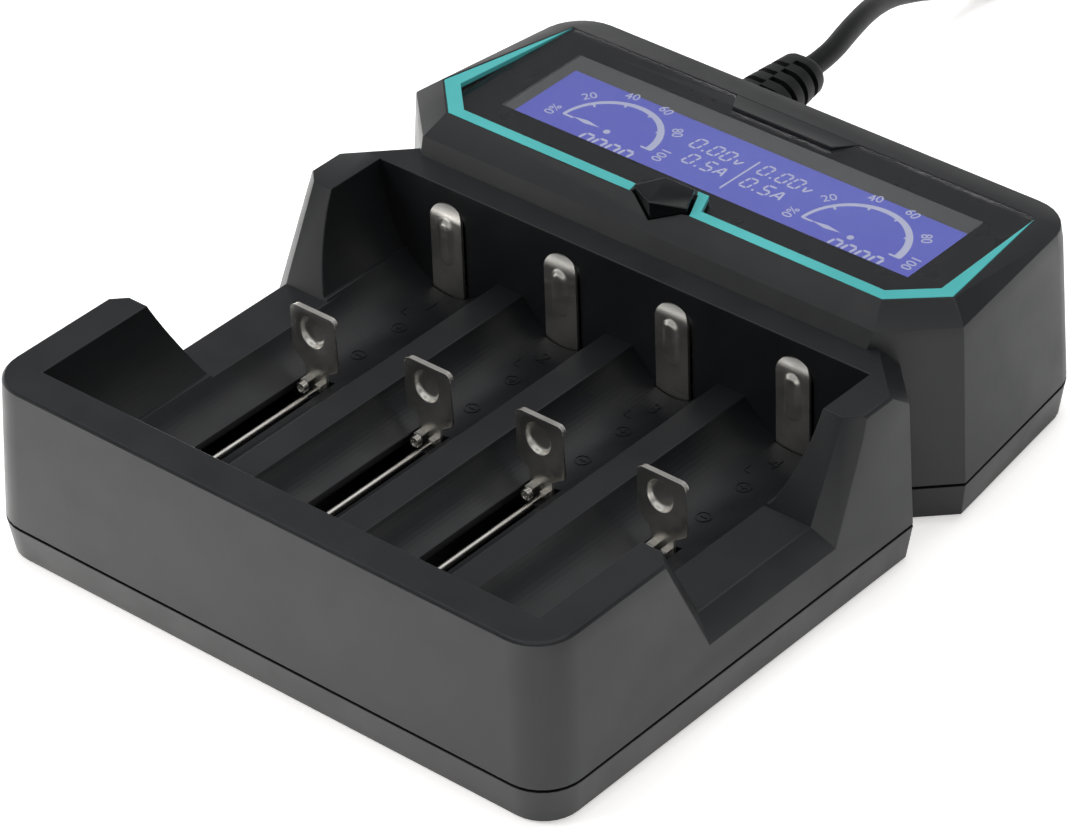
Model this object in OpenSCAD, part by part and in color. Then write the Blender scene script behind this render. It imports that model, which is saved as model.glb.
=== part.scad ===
// Four-bay battery charger with a raised display head.
// Millimetres, +Z up, front toward -Y, origin under the middle of the case at the surface it stands on.

/* [Case] */
// Width of the case at the seam
case_w = 126; // [118:1:140]
// Depth of the case, front to rear
case_depth = 150; // [146:1:165]
// Height of the seam between base and upper shell
seam_z = 7; // [6:0.5:8]
// Height of the battery tray's walls
wall_top = 35.1; // [34:0.5:38]
// Outer wall thickness
skin = 2.2; // [1.8:0.1:2.6]
// Thickness of the floor under the bays
bay_floor = 1.4; // [1.2:0.1:1.6]
// Lean of the tray's walls between seam and top
draft = 1.2; // [0.4:0.1:2]
// Radius of the tray's front corners
front_r = 8; // [4:1:14]
// Softening of the walls' top edge
edge_soft = 0.5; // [0.2:0.1:0.9]
// How much narrower the base is at its bottom
base_draft = 1.1; // [0.4:0.1:1.6]

/* [Battery tray] */
// Inner face of the front wall
pocket_front = 8.5; // [7.5:0.5:10]
// Inner face of the rear wall
pocket_rear = 93.1; // [90:0.5:95]
// Height of the ribs between the bays
rib_top = 19.2; // [18:0.2:20]
// Centre of the inner bays
bay_in = 12.5; // [12:0.1:13]
// Centre of the outer bays
bay_out = 38.9; // [38:0.1:40]
// Trough radius of the inner bays
trough_in_r = 10.2; // [10:0.1:10.6]
// Trough radius of the outer bays
trough_out_r = 12.6; // [12:0.1:12.8]
// Lowest point of the troughs
trough_z = 12.8; // [12.6:0.1:13.4]
// Radius of the side walls' inner curve
side_curve_r = 36; // [34:1:40]
// Half width of the pocket at the walls' top
pocket_half = 54.65; // [53:0.1:55.5]
// Width of the slit that each sliding contact runs in
slit_w = 6; // [5.6:0.2:7]

/* [Side notches] */
// Height of the notch's flat
notch_z = 17.9; // [17:0.5:19]
// Front end of the flat
notch_front = 42.35; // [38:0.5:48]
// Rear end of the flat
notch_rear = 71.7; // [66:0.5:74]
// Run of the slope for each millimetre of height
notch_slope = 0.505; // [0.3:0.05:0.6]
// Width of the outer chamfer
notch_flare = 3.5; // [2:0.5:4]

/* [Display head] */
// Front face of the head
head_front = 98.4; // [97:0.2:99]
// Height of the crease round the head
crease_z = 38; // [37.5:0.5:39]
// Height of the rim at its rear edge
rim_z = 39.2; // [38.8:0.1:40]
// Distance of the rim's rear edge from the rear of the case
rim_back = 6.8; // [6:0.2:8]
// Rise of the rim toward the front, in degrees
rim_tilt = 3.18; // [2:0.1:4]
// Thickness of the lens
lens_t = 1; // [0.8:0.1:1.4]
// Gap round the lens
lens_gap = 0.05; // [0.03:0.01:0.1]
// Thickness of the trim strip
trim_t = 1; // [0.6:0.1:1.4]
// Height of the display panel's face
lcd_z = 36; // [35.5:0.1:36.4]
// Thickness of the display panel
lcd_t = 2.8; // [2:0.2:3.4]
// Top face of the display board
display_board_z = 31.4; // [31:0.1:32]

/* [Mode button] */
// Half width of the button
button_half = 6; // [5:0.2:6.4]
// How far the button stands above the rim
button_rise = 1.1; // [0.8:0.1:1.6]
// Extra height of the button's front tip
button_crown = 0.5; // [0.3:0.1:0.8]
// Travel of the button
button_travel = 0.7; // [0.4:0.1:0.9]
// Gap round the button
button_gap = 0.3; // [0.2:0.05:0.45]

/* [Contacts] */
// Resting place of the sliding contacts
slide_rest = 57.8; // [52:0.2:60]
// Foremost place of the sliding contacts
slide_front = 11.8; // [11.8:0.2:22]
// Thickness of the contact sheet
sheet = 0.6; // [0.4:0.1:0.8]
// Width of the sliding plates
plate_w = 10.5; // [9:0.5:11.5]
// Top of the sliding plates
plate_top = 27.6; // [25:0.2:29]
// Width of the cup pressed into each plate
cup_w = 5.3; // [4:0.1:6]
// Diameter of the guide rods
rod_d = 1.2; // [1:0.1:1.4]
// Height of the guide rods
rod_z = 10.6; // [10.2:0.1:10.7]
// Side offset of the rods from each bay's centre
rod_x = -0.7; // [-1:0.1:-0.4]
// Running clearance of the slider feet on the rods
rod_gap = 0.05; // [0.03:0.01:0.08]
// Outer diameter of the return springs
spring_d = 3.6; // [3:0.2:4]
// Width of the rear contact strips
strip_w = 7.2; // [6:0.2:8]
// Top of the rear contact strips
strip_top = 31.5; // [28:0.5:32.5]

/* [Boards] */
// Thickness of the circuit boards
board_t = 1.6; // [1:0.2:2]
// Underside of the main board
main_board_z = 6.5; // [6:0.5:7]
// Half width of the main board
main_board_half = 48; // [46:0.5:49]
// How far the display board reaches past the window at each side
display_board_edge = 0.8; // [0.6:0.1:1.2]

/* [Fasteners and feet] */
// Shank diameter of the case screws
screw_d = 3; // [2.5:0.1:3.2]
// Head diameter of the case screws
screw_head_d = 5.6; // [5:0.2:6]
// Diameter of the feet
foot_d = 10; // [8:1:12]
// How far the feet stand below the base
foot_stand = 0.6; // [0.4:0.1:1]
// Thickness of the feet
foot_t = 1.4; // [1.2:0.1:1.6]

/* [Power lead] */
// Centre of the power inlet across the rear face
inlet_x = -24; // [-30:1:-18]
// Height of the power inlet
inlet_z = 23; // [20:0.5:24]
// Width of the inlet's mouth
inlet_w = 14.4; // [13:0.2:16]
// Height of the inlet's mouth
inlet_h = 8.4; // [7.5:0.1:9]
// Diameter of the lead
cord_d = 4.3; // [4:0.1:4.6]
// Length of the plug body on the lead's far end
plug_len = 36; // [30:1:42]

/* [Hidden] */

bays = [-bay_out, -bay_in, bay_in, bay_out];
troughs = [trough_out_r, trough_in_r, trough_in_r, trough_out_r];
half_w = case_w / 2;
wall_in = bay_out + 10.7;
rib_mid = (bay_in + bay_out) / 2;
floor_edges = [-wall_in, -rib_mid, 0, rib_mid, wall_in];
floor_y0 = pocket_front + 0.02;
floor_y1 = pocket_rear - 0.02;
layer = 0.01;
beyond = 40;
seam_gap = 0.5;
tongue_in = 0.8;
tongue_h = 1.5;
tongue_gap = 0.1;
corner_t = tan(22.5);

tray_end = 94.4;
facet_z = wall_top - 3.5;
facet_lean = 4.3;
tray_cut = 13.5;

head_x = half_w - 10.7;
head_lean = 3.2;
head_face_rise = 1.4;
rear_r = 9;
head_taper = 4;
side_lean = 1.8;
corner_run = half_w - head_x;

rim_rear = case_depth - rim_back;
lens_z = rim_z;
rim_front = 104.6;
rim_lip = 0.4;
trim_in = 2.6;
tip_x = half_w - 11;
bend_x = half_w - 6.2;
front_x = half_w - 14.67;
bend_y = rim_front + bend_x - front_x;
trim_front_x = front_x - 1.43;
trim_bend_x = bend_x - 3.13;
trim_bend_y = rim_front + trim_in + trim_bend_x - trim_front_x;

tab_front = rim_rear - 4.6;
tab_half = 11.1;
tab_foot = 13.8;

button_tip = rim_front - 2.6;
button_side = rim_front + 0.4;
button_rear = rim_front + 5.9;
button_rear_half = button_half - 2.8;
button_base = rim_z - 2.2;
button_top = rim_z + (rim_rear - button_side) * tan(rim_tilt) + button_rise;
peninsula_half = button_half + 1.3;
peninsula_rear_half = button_half - 1;
peninsula_rear = button_rear + 1.7;
stub_in = 2.5;
switch_y = button_tip + 5;
switch_h = 2.2;
plunger_top = 3.4;
plunger_r = 1.5;

window_half = 46.2;
window_front = peninsula_rear + 0.6;
window_rear = rim_rear - 3;
ledge_t = 1.3;
seat_out = 1.6;
display_board_half = window_half + display_board_edge;

rib_y0 = pocket_front - bay_floor;
rear_rib_y = pocket_rear - 5.1;
foot_len = 5;
foot_w = 7;
foot_bottom = 5.4;
foot_top = trough_z - bay_floor - 0.3;
spring_z = foot_bottom + spring_d / 2;
slit_end = slide_rest + sheet / 2 + 0.9;
slit_front = slide_front - foot_len / 2 - 0.8;
tang_bottom = foot_bottom + 0.8;
neck_l = -2.6;
neck_r = 2;
shoulder_z = 18;
plate_corner = 1.3;
lip_reach = 0.9;
cup_x = -0.5;
cup_depth = 1.1;
cup_extra = 0.8;

strip_gap = 0.2;
strip_y = pocket_rear - 0.8;
strip_recess = 1.5;
hook_r = 1.5;
tail_z = main_board_z + board_t;

boss_r = 3.5;
boss_wall = 0.6;
board_gap = 0.5;
boss_top = seam_z + 2;
screw_len = 10;
screw_head_t = 1.8;
case_screw_at = [[25, 16], [25, 82], [half_w - 9.6, case_depth - 24]];
foot_at = [[50, 14], [46, case_depth - 12]];
board_front = head_front + 2;
board_rear = case_depth - 3.6;
board_screw_at = [[main_board_half - 3, board_front + 4.6], [main_board_half - 4, board_rear - 4.4]];
display_screw_at = [[42, 104.6], [-42, 104.6]];

// Parts on the main board: place, diameter and height, or size
transformer_size = [22, 18, 15];
cans = [[-14, board_front + 10, 10, 15], [34, board_front + 9, 8, 12], [34, board_front + 19, 8, 12],
        [-38, board_front + 6, 6.3, 9]];
can_ring = 1.2;
choke_at = [[-36, board_front + 16], [23.4, board_front + 9], [23.4, board_front + 19]];
choke_size = [9, 7.2];
sink_size = [24, 4, 14];
sink_t = 1.6;
sink_fins = 5;
fin_t = 1;
link_x = -13.6;
link_w = 8;
link_t = 3;

inlet_depth = 18;
inlet_back = case_depth - inlet_depth - 2;
inlet_wall = 2.4;
inlet_leg = 14;
pin_gap = 8;
pin_d = 2.4;
fit_gap = 0.15;

// The lead's route in the part's own frame, from the connector's end to the coil
cord_r = cord_d / 2;
lead_exit = [inlet_x - 1.5, 103, inlet_z + foot_stand];
lead_route = [lead_exit, [-25.6, 107, 23.6], [-26.2, 112, 23.6], [-27.8, 118, 23.4], [-29.6, 124, 22.8],
              [-31.5, 130, 21.7], [-33.3, 136, 20.1], [-34.9, 142, 18], [-36.2, 148, 15.5],
              [-37.2, 154, 12.9], [-37.9, 159, 10.6], [-38.4, 164, 8.3], [-38.6, 169, 6.2],
              [-38.6, 174, 4.5], [-38.5, 180, 3.05], [-38.3, 186, 2.35], [-38.15, 191, 2.2],
              [-38.1, 196, 2.2]];
tail_route = [[-70, 227.9, 6.5], [-76, 227.9, 6.4], [-82, 227.4, 5.8], [-88, 226, 4.8], [-94, 223.6, 3.9],
              [-100, 220, 3.6], [-105.5, 215.4, 3.9], [-110.4, 209.8, 4.8], [-114.2, 203.6, 5.7],
              [-116.7, 197.6, 6.2], [-117.4, 193.5, 6.3],
              [-117.4, 191, 6.3]];
coil_at = [-70, 196];
coil_mean_r = 25.45;
coil_columns = 3;
coil_layers = 2;
coil_half_w = coil_columns * cord_d / 2 + cord_r;
coil_h = coil_layers * cord_d;
plug_at = [-117.4, 191, 6.3];
plug_w = 24;
plug_h = 12.4;

// Points of an arc of radius r about c, from angle a to angle b
function arc(c, r, a, b, n) = [for (i = [0:n]) c + r * [cos(a + (b - a) * i / n), sin(a + (b - a) * i / n)]];
// A half outline and its mirror image as one closed outline
function both(half) = concat(half, [for (i = [len(half) - 1:-1:0]) [-half[i][0], half[i][1]]]);

// Moves a piece from the case's front edge and bottom to the part's own frame
module placed() { translate([0, -case_depth / 2, foot_stand]) children(); }

// A thin layer of an outline, its top face at height z
module level(z) { translate([0, 0, z - layer]) linear_extrude(layer) children(); }

module cyl_y(x, z, r, y, length, facets = 96) {
    translate([x, y, z]) rotate([-90, 0, 0]) cylinder(r = r, h = length, $fn = facets);
}

module tray_outline(half, front, end, inset) {
    h = half - inset;
    f = front + inset;
    r = max(front_r - inset, 1);
    e = end - inset * corner_t;
    polygon(both(concat([[0, f]], arc([h - r, f + r], r, -90, 0, 8), [[h, e], [h - tray_cut, e + tray_cut]])));
}

module head_outline(front, front_half, corner_half, corner_y, rear, inset) {
    r = rear_r - inset;
    rear_half = corner_half - head_taper - inset;
    polygon(both(concat([[0, front + inset], [front_half - inset * corner_t, front + inset],
                         [corner_half - inset, corner_y + inset * corner_t]],
                        arc([rear_half - r, rear - inset - r], r, 0, 90, 8))));
}

module tray_foot_outline(inset) { tray_outline(half_w, 0, tray_end, inset); }

module head_foot_outline(inset) {
    head_outline(head_front, head_x, half_w, head_front + corner_run, case_depth, inset);
}

module foot_outline(inset) {
    union() {
        tray_foot_outline(inset);
        head_foot_outline(inset);
    }
}

// Solid form of the battery tray, drawn in by inset and lowered by lower
module tray_form(inset, lower, bottom) {
    hull() {
        level(bottom) tray_foot_outline(inset);
        level(facet_z - lower) tray_outline(half_w - draft * 0.75, draft, tray_end - 0.2, inset);
        level(wall_top - edge_soft - lower)
            tray_outline(half_w - draft, draft, tray_end - facet_lean, inset);
        level(wall_top - lower) tray_outline(half_w - draft, draft, tray_end - facet_lean, inset + edge_soft);
    }
}

// The tilted plane of the head's rim, its origin at the rear edge
module on_rim() { translate([0, rim_rear, rim_z]) rotate([-rim_tilt, 0, 0]) children(); }

module rim_outline(grow) {
    translate([0, -rim_rear])
        polygon(both([[0, rim_front - grow], [front_x + grow * corner_t, rim_front - grow],
                      [bend_x + grow, bend_y - grow * corner_t], [tip_x + grow, rim_rear + grow / 2]]));
}

// Solid form of the display head
module head_form(inset, lower, bottom) {
    crease_half = half_w - side_lean;
    hull() {
        level(bottom) head_foot_outline(inset);
        level(wall_top - lower)
            head_outline(head_front, head_x - head_lean * 0.8, crease_half + 0.2,
                         head_front + corner_run + 1.1, case_depth, inset);
        level(crease_z - lower)
            head_outline(head_front + head_face_rise, head_x - 2, crease_half,
                         head_front + corner_run + 1.2, case_depth - 0.4, inset);
        on_rim() level(-lower) rim_outline(rim_lip - inset);
    }
}

// Hollow that the batteries lie in, grown by g
module pocket(g) {
    y = pocket_front - g;
    length = pocket_rear - pocket_front + 2 * g;
    curve_x = pocket_half - side_curve_r;
    curve_z = wall_top + 0.9;
    edge_z = trough_z + 5.6;
    for (i = [0:3])
        cyl_y(bays[i], trough_z + troughs[i], troughs[i] + g, y, length);
    translate([-bay_out, y, rib_top - g]) cube([2 * bay_out, length, beyond]);
    for (side = [0, 1])
        mirror([side, 0, 0])
            intersection() {
                cyl_y(curve_x, curve_z, side_curve_r + g, y, length, 180);
                translate([bay_out - 1, y, edge_z - g]) cube([beyond, length, beyond]);
            }
    translate([-pocket_half - g, y, curve_z - layer]) cube([2 * (pocket_half + g), length, beyond]);
}

// Four corners of the notch's profile, drawn out by d
function notch_profile(d) =
    let (top = wall_top + 8, low = notch_z - d, k = notch_slope, s = d)
    [[notch_front - k * (top - notch_z) - s, top], [notch_front - k * (low - notch_z) - s, low],
     [notch_rear + k * (low - notch_z) + s, low], [notch_rear + k * (top - notch_z) + s, top]];

// Notch in each side wall, with the chamfer that opens it outward
module notches(g) {
    chamfer_x = half_w - draft - 2.9;
    stations = [[pocket_half - 8, g], [chamfer_x, g], [chamfer_x + notch_flare * 2, g + notch_flare * 2]];
    for (side = [0, 1])
        mirror([side, 0, 0])
            for (i = [0:1]) {
                near = stations[i];
                far = stations[i + 1];
                polyhedron(points = concat([for (p = notch_profile(near[1])) [near[0], p[0], p[1]]],
                                           [for (p = notch_profile(far[1])) [far[0], p[0], p[1]]]),
                           faces = [[0, 1, 2, 3], [7, 6, 5, 4], [0, 4, 5, 1], [1, 5, 6, 2],
                                    [2, 6, 7, 3], [3, 7, 4, 0]]);
            }
}

module peninsula_outline(grow) {
    polygon([[-peninsula_half - grow, rim_front - 4], [-peninsula_half - grow, rim_front + trim_in],
             [-peninsula_rear_half - grow, peninsula_rear + grow],
             [peninsula_rear_half + grow, peninsula_rear + grow],
             [peninsula_half + grow, rim_front + trim_in], [peninsula_half + grow, rim_front - 4]]);
}

module tab_outline() {
    polygon([[-tab_foot, rim_rear], [-tab_half, tab_front], [tab_half, tab_front], [tab_foot, rim_rear],
             [tab_foot, rim_rear + 1], [-tab_foot, rim_rear + 1]]);
}

// Outline inside the trim, where the lens lies
module lens_outline() {
    difference() {
        polygon(both([[0, rim_front + trim_in], [trim_front_x, rim_front + trim_in],
                      [trim_bend_x, trim_bend_y], [tip_x, rim_rear]]));
        peninsula_outline(0);
        translate([0, layer]) tab_outline();
    }
}

module button_outline(grow) {
    offset(delta = grow)
        polygon([[0, button_tip], [button_half, button_side], [button_rear_half, button_rear],
                 [-button_rear_half, button_rear], [-button_half, button_side]]);
}

// Trim band in plan: along the front, round the corners, to a point at the rear, with a stub
// between the button and the lens at the button's right side
module trim_outline() {
    near = button_half + 0.6;
    band = [[near, rim_front], [front_x, rim_front], [bend_x, bend_y], [tip_x, rim_rear],
            [trim_bend_x, trim_bend_y], [trim_front_x, rim_front + trim_in],
            [peninsula_half, rim_front + trim_in]];
    stub = [[peninsula_rear_half, peninsula_rear], [stub_in, peninsula_rear]];
    difference() {
        union() {
            polygon(concat(band, stub));
            mirror([1, 0, 0]) polygon(band);
        }
        button_outline(button_gap + 0.2);
    }
}

module trim_solid() {
    on_rim() translate([0, -rim_rear, -trim_t]) linear_extrude(trim_t) trim_outline();
}

// The tongue at the rear of the head that reaches over the lens
module tab_solid() {
    rear_slope = atan((rim_z - crease_z) / (case_depth - 0.4 - rim_rear));
    intersection() {
        translate([0, 0, lens_z - lens_t]) linear_extrude(4) tab_outline();
        translate([-20, rim_rear, rim_z]) rotate([-rear_slope, 0, 0]) translate([0, -10, -5]) cube([40, 16, 5]);
    }
}

module stadium(w, h) {
    union() {
        square([w - h, h], center = true);
        for (s = [-1, 1]) translate([s * (w - h) / 2, 0]) circle(d = h, $fn = 48);
    }
}

module stadium_y(w, h, y, length) {
    translate([inlet_x, y, inlet_z]) {
        translate([-(w - h) / 2, 0, -h / 2]) cube([w - h, length, h]);
        for (s = [-1, 1]) cyl_y(s * (w - h) / 2, 0, h / 2, 0, length, 48);
    }
}

module case_screw_places() {
    for (side = [-1, 1]) for (p = case_screw_at) translate([side * p[0], p[1], 0]) children();
}

// Upright strip shape with a round head, from z up to the strips' top
module strip_outline(x, half, z, y, length) {
    head = strip_top - strip_w / 2;
    translate([x - half, y, z]) cube([2 * half, length, head - z]);
    cyl_y(x, head, half, y, length, 64);
}

module rod_places() { for (x = bays) translate([x + rod_x, 0, 0]) children(); }

// The whole upper moulding: battery tray, bays and display head
module upper_moulding() {
    bottom = seam_z + seam_gap / 2;
    difference() {
        union() {
            difference() {
                union() {
                    tray_form(0, 0, bottom);
                    head_form(0, 0, bottom);
                }
                difference() {
                    union() {
                        tray_form(skin, skin, bottom);
                        head_form(skin, skin, bottom);
                        translate([0, 0, bottom - 1]) linear_extrude(1 + layer) foot_outline(skin);
                    }
                    pocket(bay_floor);
                    notches(skin - 0.6);
                    translate([0, 0, lens_z - lens_t - ledge_t]) linear_extrude(beyond)
                        offset(delta = seat_out) lens_outline();
                    translate([0, 0, lens_z - lens_t - ledge_t]) linear_extrude(beyond)
                        peninsula_outline(0.5);
                    case_screw_places() translate([0, 0, boss_top]) cylinder(r = boss_r, h = beyond, $fn = 48);
                    for (p = display_screw_at)
                        translate([p[0], p[1], display_board_z])
                            cylinder(r = 2.4, h = beyond, $fn = 32);
                    rod_places() {
                        translate([-2.2, rib_y0, rod_z - 1.8]) cube([4.4, bay_floor, beyond]);
                        translate([-2.6, rear_rib_y, foot_bottom + 1]) cube([5.2, 1.4, beyond]);
                    }
                }
            }
            tab_solid();
        }
        pocket(0);
        notches(0);
        translate([0, 0, lens_z - lens_t]) linear_extrude(beyond) offset(delta = lens_gap) lens_outline();
        translate([-window_half, window_front, lcd_z])
            cube([2 * window_half, window_rear - window_front, lens_z - lens_t + layer - lcd_z]);
        trim_solid();
        translate([0, 0, button_base - 4]) linear_extrude(beyond) button_outline(button_gap);
        for (x = bays) {
            translate([x - slit_w / 2, slit_front, trough_z - 4])
                cube([slit_w, slit_end - slit_front, 6]);
            strip_outline(x, strip_w / 2 + strip_gap, trough_z - 4, pocket_rear - 1, strip_recess + 1);
        }
        rod_places() cyl_y(0, rod_z, rod_d / 2 + layer, rib_y0 - 1, rear_rib_y + 3 - rib_y0, 32);
        stadium_y(inlet_w + 2 * inlet_wall + 0.1, inlet_h + 2 * inlet_wall + 0.1, case_depth - 8, 10);
        translate([0, 0, bottom - 2]) linear_extrude(2 + tongue_h - seam_gap + tongue_gap)
            difference() {
                foot_outline(tongue_in - tongue_gap);
                foot_outline(skin + 0.3);
            }
        case_screw_places() cylinder(d = screw_d - 0.4, h = 3 + screw_head_t + screw_len, $fn = 32);
        for (p = display_screw_at)
            translate([p[0], p[1], display_board_z - 1]) cylinder(d = 1.6, h = 6, $fn = 24);
    }
}

// The part of the moulding between two planes across and two planes along the case
module moulding_part(x0, x1, y0, y1) {
    color("#2b2d30") placed() intersection() {
        upper_moulding();
        translate([x0, y0, 0]) cube([x1 - x0, y1 - y0, 2 * beyond]);
    }
}

// The same part at both sides of the tray
module wall_parts(y0, y1) {
    moulding_part(-half_w - 1, -wall_in, y0, y1);
    moulding_part(wall_in, half_w + 1, y0, y1);
}

module tray_front() { moulding_part(-half_w - 1, half_w + 1, -1, floor_y0); }

module tray_walls_front() { wall_parts(floor_y0, notch_front); }

module tray_walls_mid() { wall_parts(notch_front, notch_rear); }

module tray_walls_rear() { wall_parts(notch_rear, floor_y1); }

module bay_floor(i) { moulding_part(floor_edges[i], floor_edges[i + 1], floor_y0, floor_y1); }

module head_shell() { moulding_part(-half_w - 1, half_w + 1, floor_y1, case_depth + 1); }

module base_shell() {
    top = seam_z - seam_gap / 2;
    floor_t = 2;
    inner = skin + base_draft - 0.3;
    color("#26282b") placed() difference() {
        union() {
            difference() {
                union() {
                    hull() {
                        level(layer) tray_foot_outline(base_draft);
                        level(top) tray_foot_outline(0);
                    }
                    hull() {
                        level(layer) head_foot_outline(base_draft);
                        level(top) head_foot_outline(0);
                    }
                }
                translate([0, 0, floor_t]) linear_extrude(beyond) foot_outline(inner);
            }
            difference() {
                translate([0, 0, floor_t]) linear_extrude(top - floor_t + tongue_h) foot_outline(tongue_in);
                translate([0, 0, floor_t - 1]) linear_extrude(beyond) foot_outline(skin - 0.1);
            }
            case_screw_places() translate([0, 0, floor_t - 1])
                cylinder(r = boss_r + boss_wall, h = boss_top - floor_t + 1, $fn = 48);
            for (side = [-1, 1]) for (p = board_screw_at)
                translate([side * p[0], p[1], floor_t - 1]) cylinder(r = 3, h = main_board_z - floor_t + 1, $fn = 32);
        }
        case_screw_places() {
            translate([0, 0, -1]) cylinder(d = screw_head_d + 0.6, h = 1 + floor_t + screw_head_t, $fn = 48);
            cylinder(d = screw_d + 0.3, h = beyond, $fn = 32);
        }
        for (side = [-1, 1]) {
            for (p = board_screw_at)
                translate([side * p[0], p[1], floor_t]) cylinder(d = 2, h = beyond, $fn = 24);
            for (p = foot_at)
                translate([side * p[0], p[1], -1]) cylinder(d = foot_d, h = 1 + foot_t - foot_stand, $fn = 64);
        }
    }
}

module display_lens() {
    color([0.12, 0.13, 0.16, 0.5]) placed()
        translate([0, 0, lens_z - lens_t]) linear_extrude(lens_t) lens_outline();
}

module teal_trim() {
    color("#50b5ae") placed() trim_solid();
}

module lcd_panel() {
    color("#5b5fcb") placed()
        translate([-window_half - 2, window_front - 0.8, lcd_z - lcd_t])
            cube([2 * window_half + 4, window_rear - window_front + 1.6, lcd_t]);
}

module lcd_holder() {
    inner = 44;
    top = lcd_z - lcd_t;
    color("#e4e4e0") placed() difference() {
        translate([-window_half - 0.5, window_front + 0.5, display_board_z])
            cube([2 * window_half + 1, window_rear - window_front - 1, top - display_board_z]);
        translate([-inner, window_front + 3, display_board_z - 1])
            cube([2 * inner, window_rear - window_front - 6, top - display_board_z - 0.6]);
    }
}

module display_board() {
    color("#2f6b3a") placed() difference() {
        translate([-display_board_half, head_front + 4, display_board_z - board_t])
            cube([2 * display_board_half, window_rear - head_front - 3, board_t]);
        for (p = display_screw_at)
            translate([p[0], p[1], display_board_z - board_t - 1]) cylinder(d = 2.4, h = board_t + 2, $fn = 24);
    }
}

module pan_screw(head_d, head_t, d, length) {
    translate([0, 0, -head_t]) difference() {
        cylinder(d = head_d, h = head_t, $fn = 32);
        for (a = [0, 90]) rotate([0, 0, a]) translate([-head_d * 0.3, -head_d * 0.07, -1])
            cube([head_d * 0.6, head_d * 0.14, 1 + head_t * 0.5]);
    }
    cylinder(d = d, h = length, $fn = 32);
}

module display_screws() {
    color("#b9bcc0") placed() for (p = display_screw_at)
        translate([p[0], p[1], display_board_z - board_t]) pan_screw(3.6, 1.2, 1.6, board_t + 4);
}

// Faceted cap with a stem that reaches down to the switch
module mode_button() {
    color("#0b0c0e") placed() union() {
        hull() {
            translate([0, 0, button_base]) linear_extrude(1) button_outline(0);
            level(button_top) button_outline(0);
            level(button_top + button_crown)
                polygon([[0, button_tip], [0.4, button_tip + 0.6], [-0.4, button_tip + 0.6]]);
        }
        translate([0, switch_y, display_board_z + plunger_top])
            cylinder(d = 2.4, h = button_base - display_board_z - plunger_top + 0.5, $fn = 32);
    }
}

module switch_plunger() {
    bottom = switch_h - button_travel - 0.6;
    color("#e8e6df") placed() translate([0, switch_y, display_board_z + bottom])
        cylinder(r = plunger_r, h = plunger_top - bottom, $fn = 32);
}

module button_switch() {
    bottom = switch_h - 2 * button_travel - 0.7;
    color("#7d8084") placed() translate([0, switch_y, display_board_z]) difference() {
        translate([-3, -3, 0]) cube([6, 6, switch_h]);
        translate([0, 0, bottom]) cylinder(r = plunger_r + 0.1, h = switch_h, $fn = 32);
    }
}

module main_board() {
    color("#2f6b3a") placed() difference() {
        translate([-main_board_half, board_front, main_board_z])
            cube([2 * main_board_half, board_rear - board_front, board_t]);
        for (side = [-1, 1]) for (p = board_screw_at)
            translate([side * p[0], p[1], main_board_z - 1]) cylinder(d = 3, h = board_t + 2, $fn = 24);
        case_screw_places() cylinder(r = boss_r + boss_wall + board_gap, h = beyond, $fn = 48);
    }
}

module board_screws() {
    color("#b9bcc0") placed() for (side = [-1, 1]) for (p = board_screw_at)
        translate([side * p[0], p[1], main_board_z + board_t])
            mirror([0, 0, 1]) pan_screw(5, 1.4, 2, board_t + 3.4);
}

module transformer() {
    core = transformer_size;
    coil_in = [core[0] * 0.16, core[1] * 0.14];
    flange = core[2] / 5;
    color("#e0c23c") placed() translate([6 - core[0] / 2, board_front + 5, tail_z]) {
        cube([core[0], core[1], flange]);
        translate([coil_in[0], coil_in[1], flange])
            cube([core[0] - 2 * coil_in[0], core[1] - 2 * coil_in[1], core[2] - 2 * flange]);
        translate([0, 0, core[2] - flange]) cube([core[0], core[1], flange]);
    }
}

module capacitors() {
    color("#20222a") placed() for (c = cans)
        translate([c[0], c[1], tail_z]) difference() {
            cylinder(d = c[2], h = c[3], $fn = 48);
            translate([0, 0, can_ring]) difference() {
                cylinder(d = c[2] + 1, h = can_ring / 2, $fn = 48);
                translate([0, 0, -1]) cylinder(d = c[2] - can_ring / 2, h = can_ring + 2, $fn = 48);
            }
        }
}

module chokes() {
    flange = choke_size[1] / 6;
    color("#a0552c") placed() for (c = choke_at)
        translate([c[0], c[1], tail_z]) {
            cylinder(d = choke_size[0], h = flange, $fn = 48);
            cylinder(d = choke_size[0] - 3.4, h = choke_size[1], $fn = 48);
            translate([0, 0, choke_size[1] - flange]) cylinder(d = choke_size[0], h = flange, $fn = 48);
        }
}

module heat_sink() {
    pitch = sink_size[0] / (sink_fins + 1.6);
    color("#a9adb2") placed() translate([21, board_rear - sink_t - 1.2, tail_z]) union() {
        translate([-sink_size[0] / 2, 0, 0]) cube([sink_size[0], sink_t, sink_size[2]]);
        for (i = [0:sink_fins - 1])
            translate([(i - (sink_fins - 1) / 2) * pitch - fin_t / 2, -sink_size[1], 2])
                cube([fin_t, sink_size[1], sink_size[2] - 2]);
    }
}

// Ribbon lead between the two boards
module board_link() {
    rise = display_board_z - board_t - tail_z;
    color("#8d9196") placed() translate([link_x, window_rear - link_t, tail_z]) {
        cube([link_w, link_t, link_t]);
        translate([0.6, link_t / 2 - 0.4, link_t]) cube([link_w - 1.2, 0.8, rise - 2 * link_t]);
        translate([0, 0, rise - link_t]) cube([link_w, link_t, link_t]);
    }
}

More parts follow.
